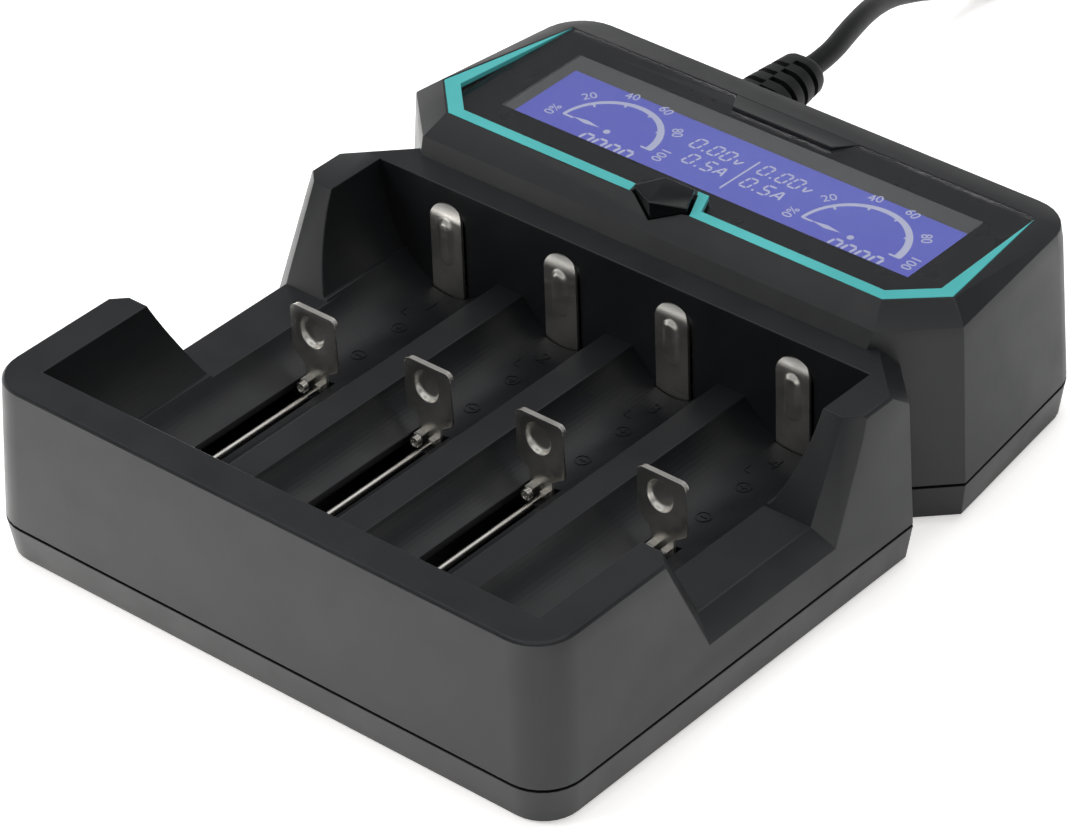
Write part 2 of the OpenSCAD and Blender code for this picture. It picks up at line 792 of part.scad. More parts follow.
module power_inlet() {
    lip = case_depth - 0.4;
    color("#1c1d1f") placed() difference() {
        union() {
            stadium_y(inlet_w + 2 * inlet_wall, inlet_h + 2 * inlet_wall, inlet_back, lip - inlet_back);
            translate([inlet_x - inlet_leg / 2, inlet_back, tail_z]) cube([inlet_leg, 12, inlet_z - tail_z]);
        }
        stadium_y(inlet_w, inlet_h, inlet_back + 2, inlet_depth + 2);
        for (s = [-1, 1]) cyl_y(inlet_x + s * pin_gap / 2, inlet_z, pin_d / 2, inlet_back - 1, 4, 32);
    }
}

module inlet_pins() {
    color("#c9b26a") placed() for (s = [-1, 1])
        cyl_y(inlet_x + s * pin_gap / 2, inlet_z, pin_d / 2, inlet_back - 1.5, 12, 32);
}

module case_screws() {
    color("#8f9296") placed() case_screw_places()
        translate([0, 0, 2 + screw_head_t]) pan_screw(screw_head_d, screw_head_t, screw_d - 0.4, screw_len);
}

module rubber_feet() {
    color("#3a3b3d") placed() for (side = [-1, 1]) for (p = foot_at)
        translate([side * p[0], p[1], -foot_stand]) cylinder(d = foot_d, h = foot_t, $fn = 64);
}

// Spring strip at the rear of a bay: pressed ridge, round hooked top, tail soldered to the main board
module rear_contact(x) {
    straight = strip_top - hook_r;
    ridge = [2.8, 19, 26, 0.4];
    color("#c8cacd") placed() translate([x, strip_y, 0]) union() {
        difference() {
            intersection() {
                union() {
                    translate([-strip_w / 2, 0, tail_z]) cube([strip_w, sheet, straight - tail_z]);
                    intersection() {
                        translate([0, hook_r, straight]) rotate([0, 90, 0])
                            cylinder(r = hook_r, h = strip_w, center = true, $fn = 64);
                        translate([-strip_w / 2, -1, straight]) cube([strip_w, 1 + hook_r + 0.4, beyond]);
                    }
                }
                strip_outline(0, strip_w / 2, tail_z, -1, strip_recess + 2);
            }
            translate([0, hook_r, straight]) rotate([0, 90, 0])
                cylinder(r = hook_r - sheet, h = strip_w + 2, center = true, $fn = 64);
        }
        translate([-strip_w / 2, 0, tail_z]) cube([strip_w, head_front + 5 - strip_y, sheet]);
        for (z = [ridge[1], ridge[2]]) cyl_y(0, z, ridge[0] / 2, -ridge[3], ridge[3] + sheet / 2, 32);
        translate([-ridge[0] / 2, -ridge[3], ridge[1]])
            cube([ridge[0], ridge[3] + sheet / 2, ridge[2] - ridge[1]]);
    }
}

// Upright stadium prism, its round ends above and below
module cup_form(w, h, y, length) {
    translate([-w / 2, y, -(h - w) / 2]) cube([w, length, h - w]);
    for (s = [-1, 1]) cyl_y(0, s * (h - w) / 2, w / 2, y, length, 64);
}

// Upright sheet plate that presses on the battery, with its tang down through the slit
module slide_contact(x) {
    h = plate_w / 2;
    c = plate_corner;
    cup_z = (shoulder_z + plate_top) / 2 + 0.5;
    color("#c8cacd") placed() translate([x, slide_rest, 0]) difference() {
        union() {
            translate([0, sheet / 2, 0]) rotate([90, 0, 0]) linear_extrude(sheet)
                polygon([[-h, shoulder_z + 1], [-h, plate_top - c], [-h + c, plate_top], [h - c, plate_top],
                         [h, plate_top - c], [h, shoulder_z + 0.4], [neck_r, shoulder_z - 2],
                         [neck_r, tang_bottom], [neck_l, tang_bottom], [neck_l, 14.6],
                         [neck_l - 0.6, 15.6], [-h - 0.5, shoulder_z]]);
            translate([-h + c, -sheet / 2, plate_top - sheet]) cube([2 * (h - c), sheet + lip_reach, sheet]);
            translate([cup_x, 0, cup_z]) cup_form(cup_w + 2 * sheet, cup_w + cup_extra + 2 * sheet, 0, cup_depth);
        }
        translate([cup_x, 0, cup_z]) cup_form(cup_w, cup_w + cup_extra, -sheet, cup_depth);
        cyl_y(rod_x, rod_z, rod_d / 2 + 0.2, -2, 4, 32);
    }
}

// Moulded foot that carries the plate along its rod, under the floor
module slider_foot(x) {
    color("#17181a") placed() translate([x, slide_rest, 0]) difference() {
        translate([rod_x - foot_w / 2, -foot_len / 2, foot_bottom]) cube([foot_w, foot_len, foot_top - foot_bottom]);
        translate([neck_l, -sheet / 2, tang_bottom]) cube([neck_r - neck_l, sheet, beyond]);
        cyl_y(rod_x, rod_z, rod_d / 2 + rod_gap, -foot_len, 2 * foot_len, 48);
        translate([rod_x - 0.45, -foot_len, rod_z]) cube([0.9, 2 * foot_len, beyond]);
    }
}

module guide_rods() {
    color("#d5d7da") placed() rod_places()
        cyl_y(0, rod_z, rod_d / 2, rib_y0 + 0.2, rear_rib_y + 1.4 - rib_y0 - 0.2, 48);
}

// Close-wound return spring behind a slider, as a ribbed tube
module return_spring(x) {
    front = slide_rest + foot_len / 2;
    length = rear_rib_y - front;
    turns = 18;
    wire = length / turns / 2;
    r = spring_d / 2;
    color("#9fa3a8") placed() translate([x + rod_x, front, spring_z]) rotate([-90, 0, 0])
        rotate_extrude($fn = 32)
            polygon(concat([[r - 0.9, 0], for (i = [0:turns - 1]) each
                            [[r - 0.3, 2 * i * wire], [r, (2 * i + 0.5) * wire],
                             [r, (2 * i + 1.5) * wire], [r - 0.3, (2 * i + 2) * wire]],
                            [r - 0.9, length]]));
}

// Moulded connector that plugs into the inlet and tapers to the lead
module lead_connector() {
    insert = inlet_depth - 2;
    grip_y = case_depth + 14;
    end_y = case_depth / 2 + lead_exit[1];
    color("#1d1e20") placed() difference() {
        union() {
            stadium_y(inlet_w - 2 * fit_gap, inlet_h - 2 * fit_gap, case_depth - insert, insert + 1);
            translate([inlet_x, case_depth + 0.3, inlet_z]) rotate([-90, 0, 0])
                linear_extrude(grip_y - case_depth - 0.3) stadium(inlet_w + 1.6, inlet_h + 1.6);
            hull() {
                translate([inlet_x, grip_y, inlet_z]) rotate([-90, 0, 0])
                    linear_extrude(layer) stadium(inlet_w + 1, inlet_h + 1);
                translate([lead_exit[0], end_y - 1.6, inlet_z]) rotate([-90, 0, 0])
                    linear_extrude(layer) stadium(10, 7.6);
                translate([lead_exit[0], end_y - layer, inlet_z]) rotate([-90, 0, 0])
                    linear_extrude(layer) stadium(8.4, 6);
            }
        }
        for (s = [-1, 1])
            cyl_y(inlet_x + s * pin_gap / 2, inlet_z, pin_d / 2 + fit_gap, case_depth - insert - 1, 10, 32);
    }
}

// Unit direction of a route at point i
function heading(route, i) =
    let (a = route[max(i - 1, 0)], b = route[min(i + 1, len(route) - 1)]) (b - a) / norm(b - a);
// Ring of points round a route, square to its direction
function ring(route, i, r, n) =
    let (d = heading(route, i), side = cross(d, [0, 0, 1]) / norm(cross(d, [0, 0, 1])), up = cross(side, d))
    [for (j = [0:n - 1]) route[i] + r * (cos(360 * j / n) * side + sin(360 * j / n) * up)];

module sweep(route, r, n) {
    last = len(route) - 1;
    points = [for (i = [0:last]) each ring(route, i, r, n)];
    sides = [for (i = [0:last - 1], j = [0:n - 1])
             [i * n + j, i * n + (j + 1) % n, (i + 1) * n + (j + 1) % n, (i + 1) * n + j]];
    polyhedron(points, concat([[for (j = [n - 1:-1:0]) j]], sides, [[for (j = [0:n - 1]) last * n + j]]));
}

module cord_lead() {
    color("#17181a") {
        sweep(lead_route, cord_r, 8);
        sweep(tail_route, cord_r, 8);
    }
}

module cord_coil() {
    color("#17181a") translate([coil_at[0], coil_at[1], coil_h / 2]) rotate_extrude($fn = 96)
        translate([coil_mean_r - coil_half_w, -coil_h / 2]) square([2 * coil_half_w, coil_h]);
}

// Strap round one side of the coil
module cord_tie() {
    w = 8;
    t = 0.8;
    out = coil_half_w + 0.1;
    in = coil_half_w + 0.7;
    color("#2c2d2f") translate([coil_at[0] - coil_mean_r, coil_at[1], 0]) difference() {
        translate([-out - t, -w / 2, 0]) cube([out + in + 2 * t, w, coil_h + t + 0.1]);
        translate([-out, -w, -1]) cube([out + in, 2 * w, coil_h + 1.1]);
    }
}

module plug_body() {
    color("#1d1e20") translate(plug_at) difference() {
        union() {
            translate([-plug_w / 2, -plug_len, -plug_h / 2]) cube([plug_w, plug_len - 10, plug_h]);
            hull() {
                translate([-plug_w / 2, -10 - layer, -plug_h / 2]) cube([plug_w, layer, plug_h]);
                rotate([90, 0, 0]) cylinder(d = cord_d + 3, h = layer, $fn = 32);
            }
        }
        for (s = [-1, 1]) translate([s * 6.35, -plug_len - 1, 0]) rotate([-90, 0, 0])
            translate([-0.75, -3.15, 0]) cube([1.5, 6.3, 7]);
    }
}

module plug_pins() {
    color("#c9b26a") translate(plug_at) for (s = [-1, 1])
        translate([s * 6.35 - 0.75, -plug_len - 17, -3.15]) cube([1.5, 23, 6.3]);
}

tray_front();
tray_walls_front();
tray_walls_mid();
tray_walls_rear();
bay_floor(0);  // bay_floor_1
bay_floor(1);  // bay_floor_2
bay_floor(2);  // bay_floor_3
bay_floor(3);  // bay_floor_4
head_shell();
base_shell();
display_lens();
teal_trim();
lcd_panel();
lcd_holder();
display_board();
display_screws();
mode_button();
switch_plunger();
button_switch();
main_board();
transformer();
capacitors();
chokes();
heat_sink();
board_link();
power_inlet();
inlet_pins();
board_screws();
case_screws();
rubber_feet();
rear_contact(bays[0]);  // rear_contact_1
rear_contact(bays[1]);  // rear_contact_2
rear_contact(bays[2]);  // rear_contact_3
rear_contact(bays[3]);  // rear_contact_4
slide_contact(bays[0]);  // slide_contact_1
slide_contact(bays[1]);  // slide_contact_2
slide_contact(bays[2]);  // slide_contact_3
slide_contact(bays[3]);  // slide_contact_4
slider_foot(bays[0]);  // slider_foot_1
slider_foot(bays[1]);  // slider_foot_2
slider_foot(bays[2]);  // slider_foot_3
slider_foot(bays[3]);  // slider_foot_4
guide_rods();
return_spring(bays[0]);  // return_spring_1
return_spring(bays[1]);  // return_spring_2
return_spring(bays[2]);  // return_spring_3
return_spring(bays[3]);  // return_spring_4
lead_connector();
cord_lead();
cord_coil();
cord_tie();
plug_body();
plug_pins();
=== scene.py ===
import math

import bmesh
import bpy
from mathutils import Matrix, Vector


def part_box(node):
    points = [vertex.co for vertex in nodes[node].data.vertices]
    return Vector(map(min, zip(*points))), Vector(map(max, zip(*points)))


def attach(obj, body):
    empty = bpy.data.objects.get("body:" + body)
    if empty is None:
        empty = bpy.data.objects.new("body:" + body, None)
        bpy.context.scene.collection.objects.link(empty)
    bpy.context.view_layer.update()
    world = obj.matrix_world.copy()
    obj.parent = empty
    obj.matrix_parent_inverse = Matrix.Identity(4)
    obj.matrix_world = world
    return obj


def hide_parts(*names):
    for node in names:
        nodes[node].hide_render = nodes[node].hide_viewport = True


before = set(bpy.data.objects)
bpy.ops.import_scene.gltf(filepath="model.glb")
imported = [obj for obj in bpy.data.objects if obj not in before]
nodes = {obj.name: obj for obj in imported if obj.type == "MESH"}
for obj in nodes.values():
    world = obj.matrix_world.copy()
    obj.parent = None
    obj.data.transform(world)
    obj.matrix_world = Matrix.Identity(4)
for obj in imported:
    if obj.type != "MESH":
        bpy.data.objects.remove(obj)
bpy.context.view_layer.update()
scene = bpy.context.scene

mm = 0.001
halfDepth = 75  # the case's front edge lies this far in front of the origin
footStand = 0.6
caseShift = Vector((0, -halfDepth, footStand))  # from the case's front bottom edge to the origin
bays = (-38.9, -12.5, 12.5, 38.9)


def makeCamera():
    view = {
        "place": (0.488965, -0.551518, 0.531269),
        "forward": (-0.54, 0.61, -0.57),
        "roll": -2.017,
        "lens": 174.68,
        "shift": (-0.01405, -0.00693),
        "sensor": 36,
        "clip": (0.05, 20),
    }
    data = bpy.data.cameras.new("photoCamera")
    data.lens = view["lens"]
    data.sensor_width = view["sensor"]
    data.shift_x, data.shift_y = view["shift"]
    data.clip_start, data.clip_end = view["clip"]
    camera = bpy.data.objects.new("photoCamera", data)
    scene.collection.objects.link(camera)
    look = Vector(view["forward"]).to_track_quat("-Z", "Y").to_matrix()
    turned = look @ Matrix.Rotation(math.radians(view["roll"]), 3, "Z")
    camera.matrix_world = Matrix.Translation(view["place"]) @ turned.to_4x4()
    scene.camera = camera
    print("camera placed")


# Shared helpers for materials

def colour(code):
    # An sRGB code as linear values
    parts = [int(code[i:i + 2], 16) / 255 for i in (0, 2, 4)]
    return [p / 12.92 if p <= 0.04045 else ((p + 0.055) / 1.055) ** 2.4 for p in parts] + [1]


def newMaterial(name):
    material = bpy.data.materials.new(name)
    material.use_nodes = True
    tree = material.node_tree
    shader = tree.nodes["Principled BSDF"]
    coords = tree.nodes.new("ShaderNodeTexCoord").outputs["Object"]
    return material, tree, shader, coords


def stretched(tree, coords, scale):
    mapping = tree.nodes.new("ShaderNodeMapping")
    mapping.inputs["Scale"].default_value = scale
    tree.links.new(coords, mapping.inputs["Vector"])
    return mapping.outputs["Vector"]


def noise(tree, coords, size, detail):
    # Blotches about size metres across
    node = tree.nodes.new("ShaderNodeTexNoise")
    node.inputs["Scale"].default_value = 1 / size
    node.inputs["Detail"].default_value = detail
    node.inputs["Roughness"].default_value = 0.55
    tree.links.new(coords, node.inputs["Vector"])
    return node.outputs["Fac"]


def ramp(tree, factor, stops):
    node = tree.nodes.new("ShaderNodeValToRGB")
    band = node.color_ramp
    while len(band.elements) < len(stops):
        band.elements.new(0.5)
    for element, (place, value) in zip(band.elements, stops):
        element.position = place
        element.color = value
    tree.links.new(factor, node.inputs["Fac"])
    return node.outputs["Color"]


def spread(tree, factor, low, high, start=0.3, end=0.7):
    node = tree.nodes.new("ShaderNodeMapRange")
    node.inputs["From Min"].default_value = start
    node.inputs["From Max"].default_value = end
    node.inputs["To Min"].default_value = low
    node.inputs["To Max"].default_value = high
    tree.links.new(factor, node.inputs["Value"])
    return node.outputs["Result"]


def bump(tree, shader, height, distance):
    node = tree.nodes.new("ShaderNodeBump")
    node.inputs["Distance"].default_value = distance
    tree.links.new(height, node.inputs["Height"])
    tree.links.new(node.outputs["Normal"], shader.inputs["Normal"])


def toned(tree, coords, socket, size, detail, dark, light, edge=0.3):
    # A slow drift between two close tones
    tone = ramp(tree, noise(tree, coords, size, detail), [(edge, colour(dark)), (1 - edge, colour(light))])
    tree.links.new(tone, socket)


def plastic(name, dark, light, rough, grain=0.0005, depth=0.00001, gloss=0.4):
    # Two close tones, a fine spark-eroded grain and an uneven sheen
    material, tree, shader, coords = newMaterial(name)
    toned(tree, coords, shader.inputs["Base Color"], 0.03, 4, dark, light, 0.35)
    sheen = spread(tree, noise(tree, coords, 0.008, 4), rough - 0.05, rough + 0.05)
    tree.links.new(sheen, shader.inputs["Roughness"])
    shader.inputs["Specular IOR Level"].default_value = gloss
    bump(tree, shader, noise(tree, coords, grain, 2), depth)
    return material


def metal(name, dark, light, rough, streak=(1, 1, 1), depth=0.0000015):
    # Drawn streaks, small tone changes and faint handling marks
    material, tree, shader, coords = newMaterial(name)
    drawn = stretched(tree, coords, streak)
    toned(tree, coords, shader.inputs["Base Color"], 0.004, 5, dark, light)
    shader.inputs["Metallic"].default_value = 1
    tree.links.new(spread(tree, noise(tree, drawn, 0.003, 4), rough - 0.05, rough + 0.07),
                   shader.inputs["Roughness"])
    bump(tree, shader, noise(tree, drawn, 0.0015, 3), depth)
    return material


def glow(name, dark, light, size, strength):
    # A lit layer with a soft drift of tone across it
    material, tree, shader, coords = newMaterial(name)
    toned(tree, coords, shader.inputs["Emission Color"], size, 2, dark, light)
    shader.inputs["Base Color"].default_value = (0, 0, 0, 1)
    shader.inputs["Specular IOR Level"].default_value = 0.1
    shader.inputs["Emission Strength"].default_value = strength
    shader.inputs["Roughness"].default_value = 0.4
    return material


def clearGlass():
    material, tree, shader, coords = newMaterial("clearLens")
    shader.inputs["Transmission Weight"].default_value = 1
    shader.inputs["IOR"].default_value = 1.45
    toned(tree, coords, shader.inputs["Base Color"], 0.05, 2, "f0f1f3", "f6f6f8")
    tree.links.new(spread(tree, noise(tree, coords, 0.01, 3), 0.02, 0.05), shader.inputs["Roughness"])
    return material


def makeMaterials():
    made = {
        "shell": plastic("shellPlastic", "131416", "191a1c", 0.36, gloss=0.5),
        "base": plastic("basePlastic", "131416", "18191b", 0.38, gloss=0.5),
        "gem": plastic("buttonPlastic", "08090a", "0e0f11", 0.2, 0.0009, 0.000004, 0.5),
        "teal": plastic("tealStrip", "43a8a8", "4fb5b6", 0.34, 0.0006, 0.000006, 0.5),
        "moulding": plastic("softMoulding", "0e0f10", "141516", 0.5, 0.0004, 0.000015, 0.28),
        "cord": plastic("cordSheath", "0c0d0e", "121314", 0.44, 0.0006, 0.00001, 0.26),
        "rubber": plastic("footRubber", "232425", "2c2d2e", 0.75, 0.0004, 0.00002, 0.25),
        "ivory": plastic("ivoryMoulding", "d8d4c6", "e2dfd3", 0.5),
        "white": plastic("whiteFrame", "d8d8d2", "e4e4de", 0.5),
        "board": plastic("boardLaminate", "1c5c34", "2a7243", 0.35, 0.0015, 0.00002, 0.5),
        "component": plastic("componentSleeve", "15171c", "1f222a", 0.35),
        "tape": plastic("yellowTape", "d9b62a", "e6c53e", 0.4),
        "ink": plastic("windowInk", "18191b", "1c1d1f", 0.3, 0.002, 0.0000005, 0.3),
        "contact": metal("nickelPlate", "e0ddd6", "f2efe8", 0.34, (1, 1, 4), 0.0000006),
        "steel": metal("zincSteel", "9a9da1", "b4b6b9", 0.28),
        "winding": metal("copperWire", "a85a2e", "c06c3a", 0.3, (1, 1, 12), 0.00001),
        "sink": metal("extrudedAluminium", "a4a7ab", "bcbec1", 0.35, (1, 1, 0.1)),
        "pin": metal("brassPin", "b89a55", "cdb06a", 0.24, (1, 6, 1)),
        "blue": glow("litBlue", "575ac6", "5d66c8", 0.05, 0.9),
        "marks": glow("litMarks", "adb1cf", "b6bad4", 0.02, 1.0),
        "panelEdge": glow("panelGlass", "48494a", "505152", 0.03, 0.8),
        "glass": clearGlass(),
    }
    print("materials made:", len(made))
    return made


materials = makeMaterials()


# Shared helpers for pieces, which are drawn in millimetres

def meshFrom(bm, name):
    mesh = bpy.data.meshes.new(name)
    bm.to_mesh(mesh)
    bm.free()
    return mesh


def only(kind, parts):
    return [p for p in parts if isinstance(p, kind)]


def edgesAmong(bm, verts):
    chosen = set(verts)
    return [e for e in bm.edges if all(v in chosen for v in e.verts)]


def keep(bm, name, finish, body="case", inCase=True, crisp=32):
    # Turns a drawing in millimetres into a finished piece that rides on a body
    if inCase:
        bmesh.ops.translate(bm, vec=caseShift, verts=bm.verts)
    bmesh.ops.scale(bm, vec=(mm, mm, mm), verts=bm.verts)
    return settle(meshFrom(bm, name), name, finish, body, crisp)


def settle(mesh, name, finish, body="case", crisp=32):
    piece = bpy.data.objects.new(name, mesh)
    scene.collection.objects.link(piece)
    mesh.polygons.foreach_set("use_smooth", [True] * len(mesh.polygons))
    mesh.set_sharp_from_angle(angle=math.radians(crisp))
    mesh.materials.clear()
    mesh.materials.append(materials[finish])
    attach(piece, body)
    return piece


def block(bm, low, high):
    low, high = Vector(low), Vector(high)
    place = Matrix.Translation((low + high) / 2) @ Matrix.Diagonal((*(high - low), 1))
    bmesh.ops.create_cube(bm, size=1, matrix=place)


def prism(bm, outline, low, high):
    # An outline in the XY plane, raised from low to high as a closed solid
    face = bm.faces.new([bm.verts.new((x, y, low)) for x, y in outline])
    solid = bmesh.ops.extrude_face_region(bm, geom=[face], use_keep_orig=True)["geom"]
    top = only(bmesh.types.BMVert, solid)
    bmesh.ops.translate(bm, vec=(0, 0, high - low), verts=top)
    sides = {f for v in top for f in v.link_faces} | {face}
    bmesh.ops.recalc_face_normals(bm, faces=list(sides))


def rounded(bm, edges, width, segments=2, clamp=True):
    bmesh.ops.bevel(bm, geom=edges, offset=width, offset_type="OFFSET", segments=segments, profile=0.5,
                    affect="EDGES", material=-1, clamp_overlap=clamp)


def corners(bm, angle):
    return [e for e in bm.edges if len(e.link_faces) == 2 and e.calc_face_angle() > angle]


def arcPoints(x, y, radius, start, end, steps):
    turn = [math.radians(start + (end - start) * i / steps) for i in range(steps + 1)]
    return [(x + radius * math.cos(a), y + radius * math.sin(a)) for a in turn]


joining = {  # metres, and degrees for the last three
    "onSeam": 1e-5,
    "merge": 2e-6,
    "mergeSeams": 2.2e-5,
    "tiny": 1e-6,
    "shortest": 0.0009,
    "flat": 0.06,
    "sharp": 28,
    "crisp": 14,
}


def isRim(edge):
    # A long, sharp, outward edge, such as a moulding's rim
    if len(edge.link_faces) != 2 or not edge.is_convex or edge.calc_length() < joining["shortest"]:
        return False
    return edge.calc_face_angle() > math.radians(joining["sharp"])


def softened(sources, name, finish, width, body="case", seams=()):
    # One piece from copies of CAD nodes, joined without their cuts, its outer edges rounded
    bm = bmesh.new()
    for source in sources:
        bm.from_mesh(nodes[source].data)
    inside = [f for f in bm.faces if any(all(abs(v.co[axis] - place) < joining["onSeam"] for v in f.verts)
                                         for axis, place in seams)]
    bmesh.ops.delete(bm, geom=inside, context="FACES")
    bmesh.ops.remove_doubles(bm, verts=bm.verts, dist=joining["mergeSeams" if seams else "merge"])
    bmesh.ops.dissolve_degenerate(bm, dist=joining["tiny"], edges=bm.edges)
    bmesh.ops.dissolve_limit(bm, angle_limit=math.radians(joining["flat"]), use_dissolve_boundaries=False,
                             verts=bm.verts, edges=bm.edges)
    rounded(bm, [e for e in bm.edges if isRim(e)], width, clamp=False)
    mesh = meshFrom(bm, name)
    for carried in ("custom_normal", "sharp_edge", "sharp_face"):
        if carried in mesh.attributes:
            mesh.attributes.remove(mesh.attributes[carried])
    piece = settle(mesh, name, finish, body, joining["crisp"])
    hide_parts(*sources)
    return piece


# The lead: connector, free stretch, coil with its tie, and plug

lead = {
    "diameter": 4.3,
    "free": [(-25.5, 103, 23.6), (-25.6, 107, 23.6), (-26.2, 112, 23.6), (-27.8, 118, 23.4),
             (-29.6, 124, 22.8), (-31.5, 130, 21.7), (-33.3, 136, 20.1), (-34.9, 142, 18),
             (-36.2, 148, 15.5), (-37.2, 154, 12.9), (-37.9, 159, 10.6), (-38.4, 164, 8.3),
             (-38.6, 169, 6.2), (-38.6, 174, 4.5), (-38.5, 180, 3.05), (-38.3, 186, 2.35),
             (-38.15, 191, 2.2)],
    "coilAt": (-70, 196),
    "outer": 31.9,
    "inner": 19.0,
    "turns": 3,
    "stepsPerTurn": 24,
    "low": 2.2,
    "high": 6.5,
    "tail": [(-76, 227.9, 6.4), (-82, 227.4, 5.8), (-88, 226, 4.8), (-94, 223.6, 3.9),
             (-100, 220, 3.6), (-105.5, 215.4, 3.9), (-110.4, 209.8, 4.8), (-114.2, 203.6, 5.7),
             (-116.7, 197.6, 6.2), (-117.4, 193.5, 6.3), (-117.4, 191, 6.3)],
}
tie = {
    "width": 8,
    "thick": 0.8,
    "middle": 25.45,
    "half": 8.6,
    "top": 8.7,
    "outerGap": 0.1,
    "innerGap": 0.7,
    "edge": 0.25,
}
plug = {
    "at": (-117.4, 191, 6.3),
    "width": 24,
    "length": 36,
    "height": 12.4,
    "neck": 10,
    "neckSteps": ((5, 0.66, 0.84), (5, 0.5, 0.7)),  # length, and shares of the width and height
    "edge": 1.1,
    "grips": 4,
    "gripStart": 4,
    "gripPitch": 3.2,
    "gripLong": 1.1,
    "gripOut": 0.3,
    "gripTall": 0.6,
}


def eased(share):
    return share * share * (3 - 2 * share)


def coilPoint(radius, turn, height):
    angle = turn * 2 * math.pi
    x, y = lead["coilAt"]
    return (x + radius * math.cos(angle), y + radius * math.sin(angle), height)


def leadRoute():
    # Down from the case, wound inward, up a layer and outward again, then to the plug
    steps = lead["stepsPerTurn"]
    count = lead["turns"] * steps
    fall = lead["outer"] - lead["inner"]
    points = list(lead["free"])
    points += [coilPoint(lead["outer"] - fall * i / count, i / steps, lead["low"]) for i in range(count)]
    quarter = steps // 4
    for i in range(quarter):
        lift = eased(i / quarter)
        points.append(coilPoint(lead["inner"], lead["turns"] + i / steps,
                                lead["low"] + (lead["high"] - lead["low"]) * lift))
    start = lead["turns"] + 0.25
    points += [coilPoint(lead["inner"] + fall * i / count, start + i / steps, lead["high"])
               for i in range(count + 1)]
    return [[c * mm for c in p] for p in points + lead["tail"]]


def makeLead():
    route = leadRoute()
    curve = bpy.data.curves.new("leadCord", "CURVE")
    curve.dimensions = "3D"
    curve.bevel_depth = lead["diameter"] / 2 * mm
    curve.bevel_resolution = 5
    curve.resolution_u = 4
    curve.use_fill_caps = True
    spline = curve.splines.new("BEZIER")
    spline.bezier_points.add(len(route) - 1)
    for point, place in zip(spline.bezier_points, route):
        point.co = place
        point.handle_left_type = point.handle_right_type = "AUTO"
    cord = bpy.data.objects.new("leadCord", curve)
    scene.collection.objects.link(cord)
    curve.materials.append(materials["cord"])
    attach(cord, "case")
    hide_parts("cord_lead", "cord_coil")
    makeConnector()
    makeTie()
    makePlug()


connector = {
    "across": -24,
    "up": 23,
    "front": [(134, 14.1, 8.1), (150.4, 14.1, 8.1), (150.45, 15.2, 9.2), (151, 16, 10)],
    "end": [(176.8, 9.9, 7.5), (177.6, 9.2, 6.8), (178, 8.2, 5.8)],
    "wide": (16, 10),
    "narrow": (9.9, 7.5),
    "rows": 11,
    "firstRow": 154.6,
    "pitch": 1.9,
    "slot": 1.4,
    "slotDepth": 1.2,
    "slotEdge": 0.12,
    "gapHalf": 0.5,
    "endShift": -1.5,
    "facets": 32,
}


def connectorRings():
    c = connector
    rings = list(c["front"])
    begin, finish = rings[-1][0], c["end"][0][0]
    for row in range(c["rows"]):
        for y in (c["firstRow"] + row * c["pitch"], c["firstRow"] + row * c["pitch"] + c["slot"]):
            share = (y - begin) / (finish - begin)
            rings.append((y, *(a + (b - a) * share for a, b in zip(c["wide"], c["narrow"]))))
    return rings + c["end"]


def stadiumRing(bm, wide, tall):
    # A closed ring in the XZ plane with round ends
    ring = bmesh.ops.create_circle(bm, segments=connector["facets"], radius=tall / 2,
                                   matrix=Matrix.Rotation(math.pi / 2, 4, "X"))["verts"]
    for v in ring:
        if abs(v.co.x) > 1e-6:
            v.co.x += math.copysign((wide - tall) / 2, v.co.x)
    return ring


def makeConnector():
    # The moulded end of the lead, with grip slots in two staggered columns
    c = connector
    bm = bmesh.new()
    rings = connectorRings()
    first, last = rings[1][0], rings[-1][0]
    loops = []
    for y, wide, tall in rings:
        ring = stadiumRing(bm, wide, tall)
        share = max(0, (y - first) / (last - first))
        bmesh.ops.translate(bm, vec=(c["across"] + c["endShift"] * share, y, c["up"]), verts=ring)
        loops.append(edgesAmong(bm, ring))
    bands = [bmesh.ops.bridge_loops(bm, edges=a + b)["faces"] for a, b in zip(loops, loops[1:])]
    bmesh.ops.holes_fill(bm, edges=loops[0] + loops[-1])
    bmesh.ops.recalc_face_normals(bm, faces=bm.faces)
    for row in range(c["rows"]):
        band = bands[len(c["front"]) + 2 * row]
        middle = sum(f.calc_center_median().x for f in band) / len(band)
        side = -1 if row % 2 else 1
        chosen = [f for f in band if (f.calc_center_median().x - middle) * side > c["gapHalf"]]
        bmesh.ops.inset_region(bm, faces=chosen, thickness=c["slotEdge"], depth=-c["slotDepth"],
                               use_even_offset=True, use_boundary=True)
    piece = keep(bm, "leadConnector", "moulding")
    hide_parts("lead_connector")
    return piece


def makeTie():
    # The strap round the coil's far side
    x, y = lead["coilAt"]
    middle = x - tie["middle"]
    outer = middle - tie["half"] - tie["outerGap"]
    inner = middle + tie["half"] + tie["innerGap"]
    half, thick, top = tie["width"] / 2, tie["thick"], tie["top"]
    bm = bmesh.new()
    block(bm, (outer - thick, y - half, 0), (outer, y + half, top + thick))
    block(bm, (inner, y - half, 0), (inner + thick, y + half, top + thick))
    block(bm, (outer, y - half, top), (inner, y + half, top + thick))
    bmesh.ops.remove_doubles(bm, verts=bm.verts, dist=1e-4)
    rounded(bm, corners(bm, 1), tie["edge"])
    piece = keep(bm, "coilTie", "moulding", inCase=False)
    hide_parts("cord_tie")
    return piece


